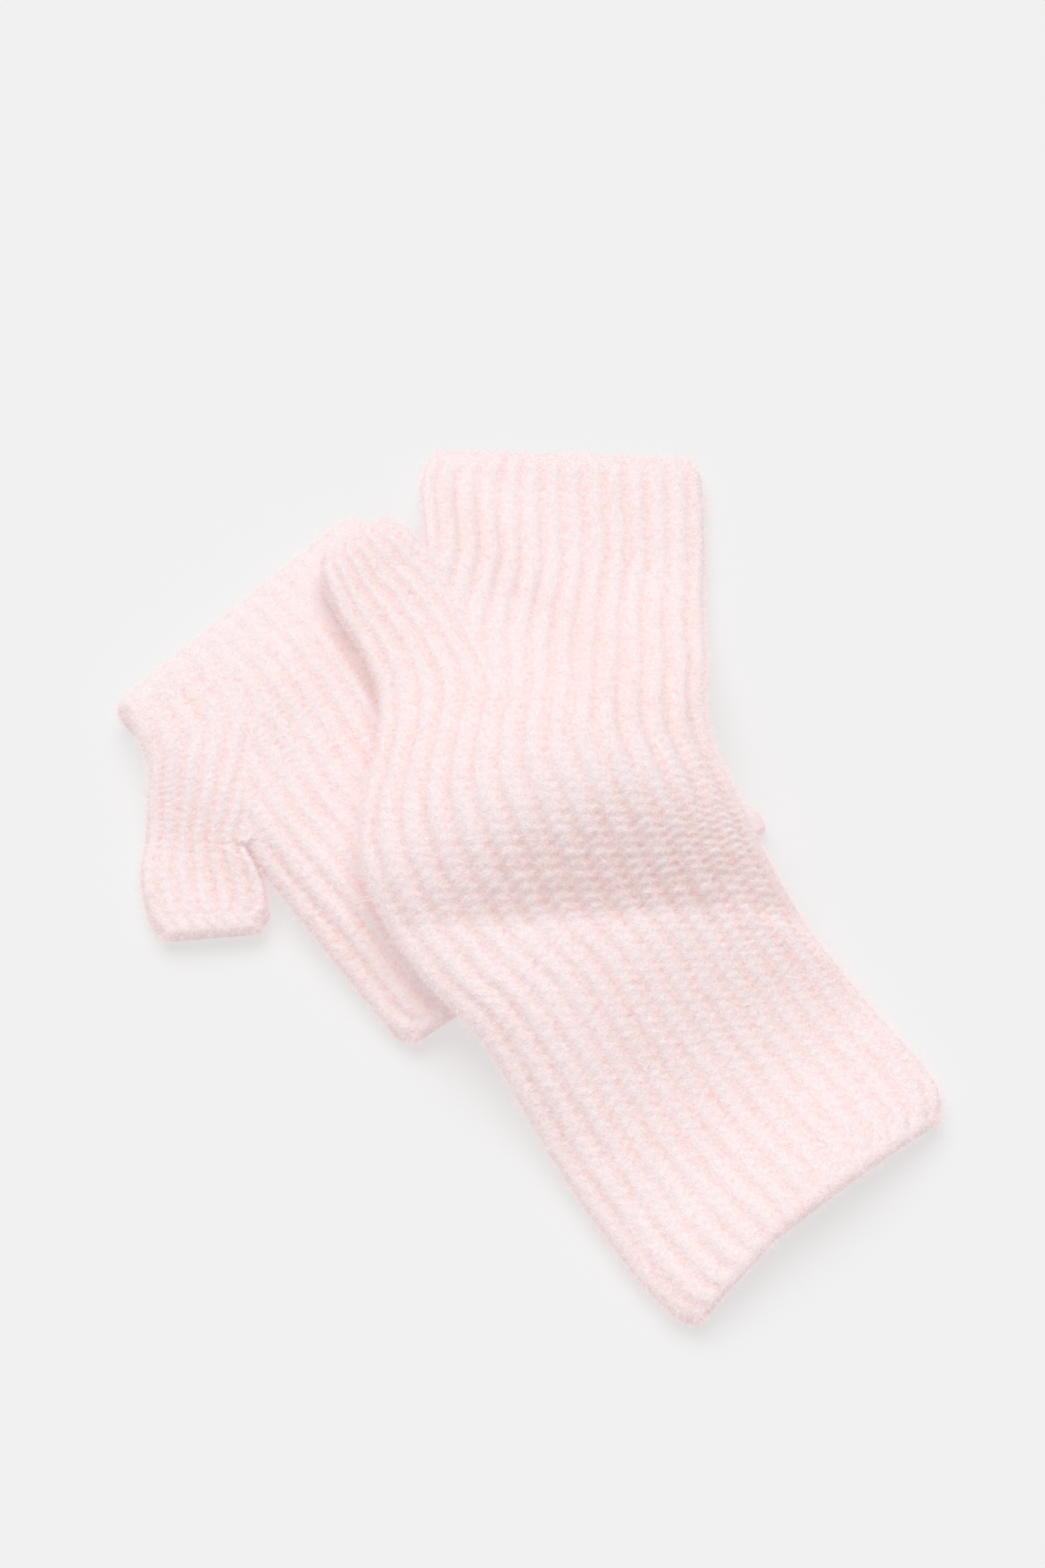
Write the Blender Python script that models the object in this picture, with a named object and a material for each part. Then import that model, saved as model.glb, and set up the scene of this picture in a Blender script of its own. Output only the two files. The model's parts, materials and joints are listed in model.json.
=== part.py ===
"""A pair of long fingerless mittens in brushed rib knit, laid on a table, one across the other.

Each mitten is a knitted tube: a sleeve, a gusset and a hand in one piece, and a short thumb tube that is
joined on at the fork. The upper mitten lies open over the lower one, and the lower one is folded back on
itself, so that its sleeve lies under its hand. Sizes are in millimetres until a mesh is made. X runs to the
right, Y away from the viewer and Z up, and the origin is on the table under the middle of the pair.
"""

import math
from typing import NamedTuple

import bmesh
import bpy
import numpy as np
from mathutils import Vector

MM = 0.001
SAME_PLACE = 1e-7

# The knit
WALL = 3.2
SLIT = 0.8
RIB_RISE = 1.2
TUBE = 2 * WALL + SLIT
THUMB_RIBS = 5
SLEEVE_RIBS = 13
SLEEVE_THUMB_RIBS = 4.5
HAND_RIBS = 12
RIB_SHAPE = (0.0, 1.0, 1.0)
FORK_SHARE = 0.35

# The way the tubes lie
EDGE_ROUND = 4.0
SIDE_ANGLES = (45.0, 0.0, -45.0)
SEAM_GAP = 0.3
LAYER_GAP = 0.4
SEAM_PAST_FORK = 3.0
ROW_STEP = 8.0
LINING_STEP = 14.0
FOLD_STEPS = 6
LOWER_PUFF = 1.0
LOWER_DRAPES = (16.0, 16.0, 16.0, 28.0)
UPPER_DRAPES = (62.0, 40.0, 40.0, 40.0)
HUMP_FALL = 85.0
HUMP_STEEPNESS = 2.2
HUMP_FOOT_ROUND = 0.3
HUMP_HOLLOW = 0.4
CUFF_ARCH = 6.0
PUFF_POWER = 0.7

# Moves the tables below so that the origin is under the middle of the pair
PLACE = np.array([0.5, 30.5])

SHARP_ANGLE = math.radians(60)
YARN_COLOUR = (0.93, 0.74, 0.73, 1.0)
YARN_ROUGHNESS = 0.95


class TrunkRow(NamedTuple):
    """One row across sleeve and gusset: its thumb-side edge, the fork's line, its far edge, arch and puff."""

    thumb_x: float
    thumb_y: float
    fork_x: float
    fork_y: float
    far_x: float
    far_y: float
    arch: float
    puff: float


class LegRow(NamedTuple):
    """One row across the hand or the thumb, past the fork: its two edges, arch and puff."""

    near_x: float
    near_y: float
    far_x: float
    far_y: float
    arch: float
    puff: float


class HumpRow(NamedTuple):
    """Where the upper mitten's hump starts to rise and is highest, at one place from left to right."""

    x: float
    foot_y: float
    crest_y: float
    rise: float


def plain_row(thumb_x, thumb_y, far_x, far_y, arch, puff):
    """A sleeve row, whose fork line lies at the thumb's share of the ribs."""
    fork_x = thumb_x + (far_x - thumb_x) * FORK_SHARE
    fork_y = thumb_y + (far_y - thumb_y) * FORK_SHARE
    return TrunkRow(thumb_x, thumb_y, fork_x, fork_y, far_x, far_y, arch, puff)


# The upper mitten, from its cuff to the fork, and on to the ends of the hand and the thumb
UPPER_TRUNK = (
    TrunkRow(46, -173, 68.5, -148, 117, -109, CUFF_ARCH, 1),
    TrunkRow(36, -163, 61.6, -138.4, 113, -97, 0.6 * CUFF_ARCH, 1.5),
    plain_row(20, -141, 100, -79, 0, 2),
    plain_row(3, -114, 84, -59, 0, 2),
    plain_row(-11, -92, 74, -45, 0, 2),
    plain_row(-25, -77, 67, -35, 0, 2),
    plain_row(-37, -60, 62, -25, 0, 3),
    plain_row(-44, -45, 57, -14, 0, 4),
    plain_row(-46, -31, 53, -3, 0, 5),
    plain_row(-44, -16, 52, 8, 0, 5),
    plain_row(-41, 1, 52, 20, 0, 3),
    TrunkRow(-41, 16, -9, 18, 53, 32, 0, 2),
    TrunkRow(-46, 30, -18, 41, 53, 52, 0, 2),
    TrunkRow(-53, 43, -28, 66, 54, 74, 0, 1.5),
)
UPPER_GUSSET_START = 11
UPPER_HAND = (
    LegRow(-28, 66, 54, 74, 0, 1.5),
    LegRow(-29, 84, 54, 87, 0, 1.5),
    LegRow(-30, 97, 54, 98, 0, 1),
    LegRow(-28, 112, 53, 108, 0, 0.5),
)
UPPER_THUMB = (
    LegRow(-53, 43, -28, 66, 0, 1.5),
    LegRow(-57, 52, -33, 72, 0, 1.5),
    LegRow(-60.5, 61, -38.5, 78, 0, 1),
)
UPPER_HUMP = (HumpRow(-48, -64, -42, 5), HumpRow(16, -60, -20, 20), HumpRow(58, -55, -8, 29))

# The lower mitten: its sleeve lies face down under the hand, which comes back over it from the fold
LOWER_SLEEVE = (
    plain_row(11, -88, 71.5, -15, 0, 0),
    plain_row(-30, -54, 32, 17, 0, 0),
    plain_row(-72, -20, -7, 48, 0, 0),
    plain_row(-114.5, 15.5, -47.5, 81.5, 0, 0),
)
LOWER_TRUNK = (
    plain_row(-114.5, 15.5, -47.5, 81.5, 0, 0),
    TrunkRow(-108, 1, -76, 19, -31, 59, 0, LOWER_PUFF),
    TrunkRow(-108, -10, -79, -2, -20, 41, 0, LOWER_PUFF),
    TrunkRow(-108, -22, -79, -27, -7, 18, 0, LOWER_PUFF),
)
LOWER_GUSSET_START = 1
LOWER_HAND = (
    LegRow(-79, -27, -7, 18, 0, LOWER_PUFF),
    LegRow(-57, -56, 15, -11, 0, LOWER_PUFF),
    LegRow(-33, -87, 39, -44, 0, 0.5 * LOWER_PUFF),
)
LOWER_THUMB = (
    LegRow(-108, -22, -79, -27, 0, LOWER_PUFF),
    LegRow(-109, -35, -74, -38, 0, LOWER_PUFF),
    LegRow(-104, -53, -72.5, -49.5, 0, 0.5 * LOWER_PUFF),
)

# What the layers above lie on, as outlines seen from above, each turning left
LOWER_SLEEVE_PATCH = ((11, -88), (71.5, -15), (-52.5, 86.5), (-119.5, 20.5))
LOWER_HAND_PATCH = ((-33, -87), (39, -44), (-52.5, 86.5), (-119.5, 20.5))


def ease(share):
    """0 at 0 and 1 at 1, with no slope at either end."""
    share = min(1.0, max(0.0, share))
    return share * share * (3 - 2 * share)


def cover(x, y, patch, drapes):
    """1 over the patch, falling to 0 at each side's drape outside it."""
    outside = -math.inf
    for (ax, ay), (bx, by), drape in zip(patch, patch[1:] + patch[:1], drapes):
        length = math.hypot(bx - ax, by - ay)
        outside = max(outside, ((x - ax) * (by - ay) - (y - ay) * (bx - ax)) / (length * drape))
    return 1 - ease(outside)


def lower_rest(x, y):
    """Height of what the lower mitten's hand and thumb lie on: their own sleeve, or the table."""
    return (TUBE + SEAM_GAP) * cover(x, y, LOWER_SLEEVE_PATCH, LOWER_DRAPES)


def through_three(x, rows, column):
    """The value at x of the parabola through three rows of a table."""
    made = 0.0
    for row in rows:
        weight = 1.0
        for other in rows:
            if other is not row:
                weight *= (x - other.x) / (row.x - other.x)
        made += weight * getattr(row, column)
    return made


def hump(x, y):
    """Rise of the upper mitten over what it lies on: steep over its round foot, and slow beyond its crest."""
    x = min(UPPER_HUMP[-1].x, max(UPPER_HUMP[0].x, x))
    foot, crest, rise = (through_three(x, UPPER_HUMP, name) for name in ("foot_y", "crest_y", "rise"))
    if y < crest:
        share = max(0.0, (y - foot) / (crest - foot))
        share = share**2 * (1 + HUMP_FOOT_ROUND) / (share + HUMP_FOOT_ROUND)
        return rise * (1 - (1 - share) ** HUMP_STEEPNESS)
    return rise * (1 - ease((y - crest) / HUMP_FALL))


def upper_rest(x, y):
    """Height of the upper mitten's underside: over the lower layers or the table, with its hump."""
    sleeve = (TUBE + LAYER_GAP) * cover(x, y, LOWER_SLEEVE_PATCH, UPPER_DRAPES)
    hand_height = TUBE + RIB_RISE + LOWER_PUFF + 2 * LAYER_GAP
    hand = hand_height * cover(x, y, LOWER_HAND_PATCH, UPPER_DRAPES)
    return sleeve + hand + (1 - HUMP_HOLLOW) * hump(x, y)


def upper_fill(x, y):
    """How far the hump parts the upper mitten's walls."""
    return HUMP_HOLLOW * hump(x, y)


def lower_fill(x, y):
    """The lower mitten's walls are parted nowhere but by their own puff."""
    return 0.0


UPPER_GROUND = (upper_rest, upper_fill)
LOWER_GROUND = (lower_rest, lower_fill)


def through_rows(rows, step):
    """Rows on a smooth curve through the given ones, about a step apart, with the given ones among them."""
    table = np.array(rows, float)
    before = np.vstack([2 * table[0] - table[1], table[:-1]])
    after = np.vstack([table[1:], 2 * table[-1] - table[-2]])
    slope = (after - before) / 2
    made = [table[0]]
    for i in range(len(table) - 1):
        span = table[i + 1] - table[i]
        edges = [math.hypot(span[k], span[k + 1]) for k in (0, len(span) - 4)]
        count = max(1, round(max(edges) / step))
        for j in range(1, count + 1):
            t = j / count
            made.append(
                (1 + 2 * t) * (1 - t) ** 2 * table[i]
                + t * (1 - t) ** 2 * slope[i]
                + t * t * (3 - 2 * t) * table[i + 1]
                - t * t * (1 - t) * slope[i + 1]
            )
    return made


class Lie:
    """How one row of a tube lies: its line seen from above, and the height over it of each point."""

    def __init__(self, line, arch, puff, ground, roll=None, rib_share=1.0):
        self.line = [np.array(point, float) for point in line]
        self.arch = arch
        self.puff = puff
        self.rest, self.fill = ground
        self.roll = roll
        self.rib_share = rib_share
        self.lengths = [np.linalg.norm(b - a) for a, b in zip(self.line, self.line[1:])]
        self.width = sum(self.lengths)

    def at(self, along):
        """The point of the line at that distance from its first edge."""
        for start, end, length in zip(self.line, self.line[1:], self.lengths):
            if along <= length or end is self.line[-1]:
                return start + (end - start) * (along / length)
            along -= length

    def point(self, along, height, plump=0.0):
        """A point of the tube, height above its underside. plump is the share of the puff that it takes."""
        x, y = self.at(along)
        share = min(1.0, max(0.0, along / self.width))
        height += (self.puff + self.fill(x, y)) * plump * math.sin(math.pi * share) ** PUFF_POWER
        if self.roll is None:
            arch = 4 * self.arch * share * (1 - share)
            return np.array([x, y, self.rest(x, y) + arch + height])
        outward, level = self.roll[0], self.roll[1]
        turn = math.radians(self.roll[2])
        reach = height + SEAM_GAP / 2
        over = outward * math.sin(turn) * reach
        return np.array([x + over[0], y + over[1], level - math.cos(turn) * reach])


class Grain(NamedTuple):
    """How finely a skin is divided: points in a rib, spans under a part, and points round a side."""

    rib_points: int
    thumb_spans: int
    hand_spans: int
    side_angles: tuple
    inset: float
    ribbed: bool


OUTSIDE = Grain(len(RIB_SHAPE), 2, 4, SIDE_ANGLES, 0.0, True)
INSIDE = Grain(0, 2, 4, (0.0,), WALL, False)


def across(start, stop, count):
    """Evenly spaced places on a row."""
    return [start + (stop - start) * i / count for i in range(count + 1)]


def ribbed_top(lie, grain, start, stop, ribs, shown, spans, from_far, fork_crest=0.0):
    """The top of one part of a row, start to stop. Ribs that find no room are gathered on the fork's line.

    ribs is the number of ribs that the part has at its widest, and shown is the number that fit here.
    fork_crest is how much of a rib's rise the fork's line has.
    """
    fork = (start if from_far else stop) if shown < ribs else None
    high = TUBE - grain.inset
    if not grain.ribbed:
        return [lie.point(s, high, 1.0) for s in across(start, stop, spans)]
    steps = ribs * grain.rib_points
    pitch = (stop - start) / (shown * grain.rib_points)
    made = []
    for i in range(steps + 1):
        place = stop - (steps - i) * pitch if from_far else start + i * pitch
        place = min(stop, max(start, place))
        crest = RIB_SHAPE[(steps - i if from_far else i) % grain.rib_points]
        if place <= start or place >= stop:
            crest = fork_crest if place == fork else 0.0
        made.append(lie.point(place, high + RIB_RISE * lie.rib_share * crest, 1.0))
    return made


def side(lie, grain, edge, inward):
    """Points round a tube's side from top to bottom. inward is +1 at a row's first edge, -1 at its last."""
    half = TUBE / 2 - grain.inset
    reach = EDGE_ROUND - grain.inset
    made = []
    for angle in grain.side_angles:
        turn = math.radians(angle)
        place = edge + inward * (grain.inset + reach * (1 - math.cos(turn)))
        rise = 1 + math.sin(turn)
        made.append(lie.point(place, grain.inset + half * rise, rise / 2))
    return made


def under(lie, grain, start, stop, count):
    """The underside of one part of a row."""
    return [lie.point(s, grain.inset) for s in across(start, stop, count)]


def trunk_parts(lie, grain, shown, fork_crest):
    """The runs of points round a trunk row: over the thumb's share, over the hand's, and back below.

    shown is how many of the thumb's ribs and of the hand's fit here.
    """
    fork = lie.lengths[0]
    start, stop = EDGE_ROUND, lie.width - EDGE_ROUND
    return {
        "thumb_top": ribbed_top(
            lie, grain, start, fork, THUMB_RIBS, shown[0], grain.thumb_spans, False, fork_crest
        ),
        "hand_top": ribbed_top(
            lie, grain, fork, stop, HAND_RIBS, shown[1], grain.hand_spans, True, fork_crest
        ),
        "far_side": side(lie, grain, lie.width, -1),
        "hand_under": under(lie, grain, stop, fork, grain.hand_spans),
        "thumb_under": under(lie, grain, fork, start, grain.thumb_spans),
        "thumb_side": side(lie, grain, 0.0, 1)[::-1],
    }


def leg_parts(lie, grain, ribs, spans, from_far):
    """The runs of points round a row of the hand or the thumb."""
    start, stop = EDGE_ROUND, lie.width - EDGE_ROUND
    return {
        "top": ribbed_top(lie, grain, start, stop, ribs, ribs, spans, from_far),
        "far_side": side(lie, grain, lie.width, -1),
        "under": under(lie, grain, stop, start, spans),
        "near_side": side(lie, grain, 0.0, 1)[::-1],
    }


class Skin:
    """Makes the vertices and faces of one skin in a mesh."""

    def __init__(self, mesh):
        self.mesh = mesh

    def vertices(self, points, first=None):
        """A vertex for each point. Points in one place share a vertex."""
        made = []
        for point in points:
            place = (point[0] + PLACE[0], point[1] + PLACE[1], point[2])
            place = [value * MM for value in place]
            last = made[-1] if made else first
            if last is not None and (last.co - Vector(place)).length < SAME_PLACE:
                made.append(last)
            else:
                made.append(self.mesh.verts.new(place))
        return made

    def face(self, corners):
        """A face on the corners that differ, if there are three or more."""
        kept = []
        for corner in corners:
            if corner not in kept:
                kept.append(corner)
        if len(kept) > 2:
            self.mesh.faces.new(kept)

    def loft(self, rings):
        """Faces between each ring and the next."""
        for near, far in zip(rings, rings[1:]):
            for i in range(len(near)):
                j = (i + 1) % len(near)
                self.face([near[i], near[j], far[j], far[i]])


def trunk_ring(skin, parts):
    """The vertices of a trunk row, run by run. Tops meet in one vertex, and so do undersides."""
    runs = {"thumb_top": skin.vertices(parts["thumb_top"])}
    fork = runs["thumb_top"][-1]
    runs["hand_top"] = [fork] + skin.vertices(parts["hand_top"][1:], fork)
    runs["far_side"] = skin.vertices(parts["far_side"])
    runs["hand_under"] = skin.vertices(parts["hand_under"])
    runs["thumb_under"] = [runs["hand_under"][-1]] + skin.vertices(parts["thumb_under"][1:])
    runs["thumb_side"] = skin.vertices(parts["thumb_side"])
    return runs


def whole_ring(runs):
    """The closed ring of a trunk row."""
    return (
        runs["thumb_top"]
        + runs["hand_top"][1:]
        + runs["far_side"]
        + runs["hand_under"]
        + runs["thumb_under"][1:]
        + runs["thumb_side"]
    )


def ring_marks(ring_runs):
    """For each vertex of a ring, how far round it is, counting each run as 1."""
    marks = []
    for number, run in enumerate(ring_runs):
        marks += [number + (i + 0.5) / len(run) for i in range(len(run))]
    return marks


def close_rim(skin, outer, outer_marks, inner, inner_marks):
    """Faces between an outer and an inner ring that have different numbers of vertices."""
    turns = len(outer_marks), len(inner_marks)
    i = j = 0
    top = math.ceil(max(outer_marks[-1], inner_marks[-1]))
    while i < turns[0] or j < turns[1]:
        next_outer = outer_marks[i + 1] if i + 1 < turns[0] else top + outer_marks[0]
        next_inner = inner_marks[j + 1] if j + 1 < turns[1] else top + inner_marks[0]
        if j >= turns[1] or (i < turns[0] and next_outer <= next_inner):
            skin.face([outer[i], outer[(i + 1) % turns[0]], inner[j % turns[1]]])
            i += 1
        else:
            skin.face([outer[i % turns[0]], inner[(j + 1) % turns[1]], inner[j]])
            j += 1


def merged(rings_and_marks):
    """The ring and its marks without vertices that repeat."""
    ring, marks = rings_and_marks
    kept = [(v, m) for k, (v, m) in enumerate(zip(ring, marks)) if v is not ring[k - 1]]
    return [v for v, _ in kept], [m for _, m in kept]


def trunk_marks(runs):
    """Marks round a trunk row."""
    hand_top, thumb_under = runs["hand_top"][1:], runs["thumb_under"][1:]
    below = (runs["hand_under"], thumb_under)
    return ring_marks((runs["thumb_top"], hand_top, runs["far_side"], *below, runs["thumb_side"]))


def lie_of(row, ground, roll=None, rib_share=1.0):
    """The lie of a trunk row or a leg row."""
    *places, arch, puff = row
    line = [places[k : k + 2] for k in range(0, len(places), 2)]
    return Lie(line, max(0.0, arch), max(0.0, puff), ground, roll, rib_share)


def lower_sleeve_lies(step):
    """The lower mitten's sleeve, face down on the table, then its roll round the fold."""
    flat = (np.array([0.0, 0.0]), TUBE + SEAM_GAP / 2, 0.0)
    lies = [lie_of(row, LOWER_GROUND, flat, 0.0) for row in through_rows(LOWER_SLEEVE, step)[:-1]]
    fold = LOWER_SLEEVE[-1]
    along = np.array([fold.far_x - fold.thumb_x, fold.far_y - fold.thumb_y])
    outward = np.array([-along[1], along[0]]) / np.linalg.norm(along)
    for i in range(FOLD_STEPS):
        turn = 180.0 * i / FOLD_STEPS
        lies.append(lie_of(fold, LOWER_GROUND, (outward, TUBE + SEAM_GAP / 2, turn), ease(turn / 90.0 - 0.5)))
    return lies


class Mitten(NamedTuple):
    """The tables of one mitten, and what it lies on."""

    name: str
    trunk: tuple
    gusset_start: int
    hand: tuple
    thumb: tuple
    ground: tuple
    sleeve_lies: object


UPPER = Mitten("upper", UPPER_TRUNK, UPPER_GUSSET_START, UPPER_HAND, UPPER_THUMB, UPPER_GROUND, None)
LOWER = Mitten(
    "lower", LOWER_TRUNK, LOWER_GUSSET_START, LOWER_HAND, LOWER_THUMB, LOWER_GROUND, lower_sleeve_lies
)


def ribs_beside_fork(lies, gusset_start, part, in_sleeve, at_fork):
    """How many of a part's ribs fit beside the fork's line at each row: more and more, up the gusset.

    part is 0 for the thumb and 1 for the hand, with the ribs that it has in the sleeve and past the fork.
    """
    rooms = [lie.lengths[part] - EDGE_ROUND for lie in lies]
    first, last = rooms[gusset_start] / in_sleeve, (rooms[-1] - EDGE_ROUND) / at_fork
    made = []
    for i, room in enumerate(rooms):
        share = (i - gusset_start) / (len(rooms) - 1 - gusset_start)
        made.append(room / (first + (last - first) * share) if share > 0 else in_sleeve)
    return made


def cut_back(rows, distance):
    """Drops the start of a run of leg rows, up to that distance along its middle."""
    middles = [np.array([row[0] + row[2], row[1] + row[3]]) / 2 for row in rows]
    gone = 0.0
    for i, (a, b) in enumerate(zip(middles, middles[1:])):
        length = np.linalg.norm(b - a)
        if gone + length > distance:
            share = (distance - gone) / length
            return [rows[i] * (1 - share) + rows[i + 1] * share] + rows[i + 1 :]
        gone += length
    return rows[-1:]


def keep_start(rows, distance):
    """Keeps the start of a run of leg rows, up to that distance along its middle."""
    end = cut_back(rows, distance)
    return rows[: len(rows) - len(end) + 1] + end[:1]


def body_skin(mesh, mitten, grain, step, fork_back):
    """One skin of a body: the trunk's rings, then the hand's and the thumb's from the fork.

    Returns the open rings, each with its marks, in the order cuff, hand, thumb.
    """
    skin = Skin(mesh)
    rows = through_rows(mitten.trunk, step)
    start_row = mitten.trunk[mitten.gusset_start]
    gusset_start = next(i for i, row in enumerate(rows) if np.allclose(row, start_row))
    if fork_back:
        back = fork_back / np.linalg.norm(np.array(rows[-1][2:4]) - np.array(rows[-2][2:4]))
        rows[-1] = rows[-1] * (1 - back) + rows[-2] * back
    lies = [lie_of(row, mitten.ground) for row in rows]
    in_sleeve = (SLEEVE_THUMB_RIBS, SLEEVE_RIBS - SLEEVE_THUMB_RIBS)
    thumb_shown = ribs_beside_fork(lies, gusset_start, 0, in_sleeve[0], THUMB_RIBS)
    hand_shown = ribs_beside_fork(lies, gusset_start, 1, in_sleeve[1], HAND_RIBS)
    shown = list(zip(thumb_shown, hand_shown))
    fork_crests = [1.0 if i < gusset_start else 0.0 for i in range(len(lies))]
    if mitten.sleeve_lies:
        sleeve = mitten.sleeve_lies(step)
        lies = sleeve + lies
        shown = [in_sleeve] * len(sleeve) + shown
        fork_crests = [1.0] * len(sleeve) + fork_crests
    parts = [trunk_parts(*row) for row in zip(lies, [grain] * len(lies), shown, fork_crests)]
    trunk = [trunk_ring(skin, runs) for runs in parts]
    skin.loft([whole_ring(runs) for runs in trunk])

    fork = trunk[-1]
    top, bottom = fork["hand_top"][0].co, fork["hand_under"][-1].co
    count = len(grain.side_angles)
    web = [mesh.verts.new(top.lerp(bottom, (k + 1) / (count + 1))) for k in range(count)]

    hand_rows = through_rows(mitten.hand, step)[1:]
    hand = [[fork["hand_top"], fork["far_side"], fork["hand_under"], web[::-1]]]
    for row in hand_rows:
        parts = leg_parts(lie_of(row, mitten.ground), grain, HAND_RIBS, grain.hand_spans, True)
        hand.append([skin.vertices(parts[k]) for k in ("top", "far_side", "under", "near_side")])
    skin.loft([sum(runs, []) for runs in hand])

    thumb_rows = keep_start(through_rows(mitten.thumb, step), SEAM_PAST_FORK)[1:]
    thumb = [[fork["thumb_top"], web, fork["thumb_under"], fork["thumb_side"]]]
    for row in thumb_rows:
        parts = leg_parts(lie_of(row, mitten.ground), grain, THUMB_RIBS, grain.thumb_spans, False)
        thumb.append([skin.vertices(parts[k]) for k in ("top", "far_side", "under", "near_side")])
    skin.loft([sum(runs, []) for runs in thumb])

    return [
        merged((whole_ring(trunk[0]), trunk_marks(trunk[0]))),
        merged((sum(hand[-1], []), ring_marks(hand[-1]))),
        merged((sum(thumb[-1], []), ring_marks(thumb[-1]))),
    ]


def thumb_skin(mesh, mitten, grain, step):
    """One skin of a thumb tube. Returns its two open rings with their marks."""
    skin = Skin(mesh)
    rows = cut_back(through_rows(mitten.thumb, step), SEAM_PAST_FORK + SEAM_GAP)
    rings = []
    for row in rows:
        parts = leg_parts(lie_of(row, mitten.ground), grain, THUMB_RIBS, grain.thumb_spans, False)
        rings.append([skin.vertices(parts[k]) for k in ("top", "far_side", "under", "near_side")])
    skin.loft([sum(runs, []) for runs in rings])
    return [merged((sum(runs, []), ring_marks(runs))) for runs in (rings[0], rings[-1])]


def yarn_material():
    """Pale pink brushed yarn."""
    material = bpy.data.materials.new("brushed_yarn")
    material.use_nodes = True
    shader = material.node_tree.nodes["Principled BSDF"]
    shader.inputs["Base Color"].default_value = YARN_COLOUR
    shader.inputs["Roughness"].default_value = YARN_ROUGHNESS
    shader.inputs["Metallic"].default_value = 0.0
    material.diffuse_color = YARN_COLOUR
    return material


def finish_piece(name, mesh, collection, material):
    """Turns a bmesh into an object of the pair."""
    bmesh.ops.recalc_face_normals(mesh, faces=mesh.faces)
    bmesh.ops.triangulate(mesh, faces=mesh.faces)
    data = bpy.data.meshes.new(name)
    mesh.to_mesh(data)
    mesh.free()
    data.materials.append(material)
    data.shade_smooth()
    data.set_sharp_from_angle(angle=SHARP_ANGLE)
    piece = bpy.data.objects.new(name, data)
    collection.objects.link(piece)
    return piece


def build_body(mitten, collection, material):
    """Sleeve, gusset and hand of a mitten, as one tube with a thick wall."""
    mesh = bmesh.new()
    outer = body_skin(mesh, mitten, OUTSIDE, ROW_STEP, 0.0)
    inner = body_skin(mesh, mitten, INSIDE, LINING_STEP, WALL)
    for (out_ring, out_marks), (in_ring, in_marks) in zip(outer, inner):
        close_rim(Skin(mesh), out_ring, out_marks, in_ring, in_marks)
    return finish_piece(f"{mitten.name}_body", mesh, collection, material)


def build_thumb(mitten, collection, material):
    """The thumb tube of a mitten."""
    mesh = bmesh.new()
    outer = thumb_skin(mesh, mitten, OUTSIDE, ROW_STEP)
    inner = thumb_skin(mesh, mitten, INSIDE, ROW_STEP)
    for (out_ring, out_marks), (in_ring, in_marks) in zip(outer, inner):
        close_rim(Skin(mesh), out_ring, out_marks, in_ring, in_marks)
    return finish_piece(f"{mitten.name}_thumb", mesh, collection, material)


def main():
    """Clears the scene and builds the pair."""
    for thing in list(bpy.data.objects):
        bpy.data.objects.remove(thing)
    pair = bpy.data.collections.new("pair_of_mittens")
    bpy.context.scene.collection.children.link(pair)
    material = yarn_material()
    for mitten in (LOWER, UPPER):
        build_body(mitten, pair, material)
        build_thumb(mitten, pair, material)


main()
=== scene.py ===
"""Looks of a pair of long fingerless mittens in brushed rib knit, laid on a table one across the other.

Each mitten is a knitted tube that forks into a hand and a thumb. Its outside is a fine grid that carries the
ribs and the stitches, its inside is plain, and a nap of short fibres stands on what shows. The tables are in
millimetres, in a working frame that PLACE moves onto the part's own frame. Meshes are in metres.
"""

import json
import logging
import math
from dataclasses import dataclass, field, replace
from enum import Enum
from typing import NamedTuple, Optional, Sequence

import bmesh
import bpy
import numpy as np
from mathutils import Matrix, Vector

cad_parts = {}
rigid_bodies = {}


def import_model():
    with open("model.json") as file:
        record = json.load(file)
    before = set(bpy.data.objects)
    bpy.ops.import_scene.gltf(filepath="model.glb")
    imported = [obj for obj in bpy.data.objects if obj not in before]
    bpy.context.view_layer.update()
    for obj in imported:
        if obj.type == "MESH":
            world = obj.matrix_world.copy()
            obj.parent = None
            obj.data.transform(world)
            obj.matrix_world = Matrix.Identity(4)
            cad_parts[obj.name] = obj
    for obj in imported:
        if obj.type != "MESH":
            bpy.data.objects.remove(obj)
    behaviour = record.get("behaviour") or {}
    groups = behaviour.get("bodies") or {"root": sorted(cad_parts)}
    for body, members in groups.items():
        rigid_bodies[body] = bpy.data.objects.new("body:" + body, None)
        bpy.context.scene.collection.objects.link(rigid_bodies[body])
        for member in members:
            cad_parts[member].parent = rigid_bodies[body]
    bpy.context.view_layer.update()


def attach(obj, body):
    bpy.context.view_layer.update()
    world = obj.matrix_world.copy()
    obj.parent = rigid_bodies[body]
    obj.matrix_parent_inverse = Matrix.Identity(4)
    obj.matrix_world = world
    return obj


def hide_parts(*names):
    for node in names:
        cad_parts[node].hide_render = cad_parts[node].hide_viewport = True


log = logging.getLogger("mittens")
Array = np.ndarray
Socket = bpy.types.NodeSocket
Tree = bpy.types.NodeTree

MM = 0.001
PLACE = np.array([0.5, 30.5])

# Keeps a length that is divided by from being nothing
TINY = 1e-9

# The knit's driving sizes
WALL = 3.2
SLIT = 0.8
TUBE = 2 * WALL + SLIT
EDGE_ROUND = 4.0
RIB_RISE = 1.2
COURSE = 3.2
THUMB_RIBS = 5
SLEEVE_RIBS = 13
FORK_RIB = 4.5
HAND_RIBS = 12
FORK_SHARE = 0.35
SEAM_PAST_FORK = 3.15

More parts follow.
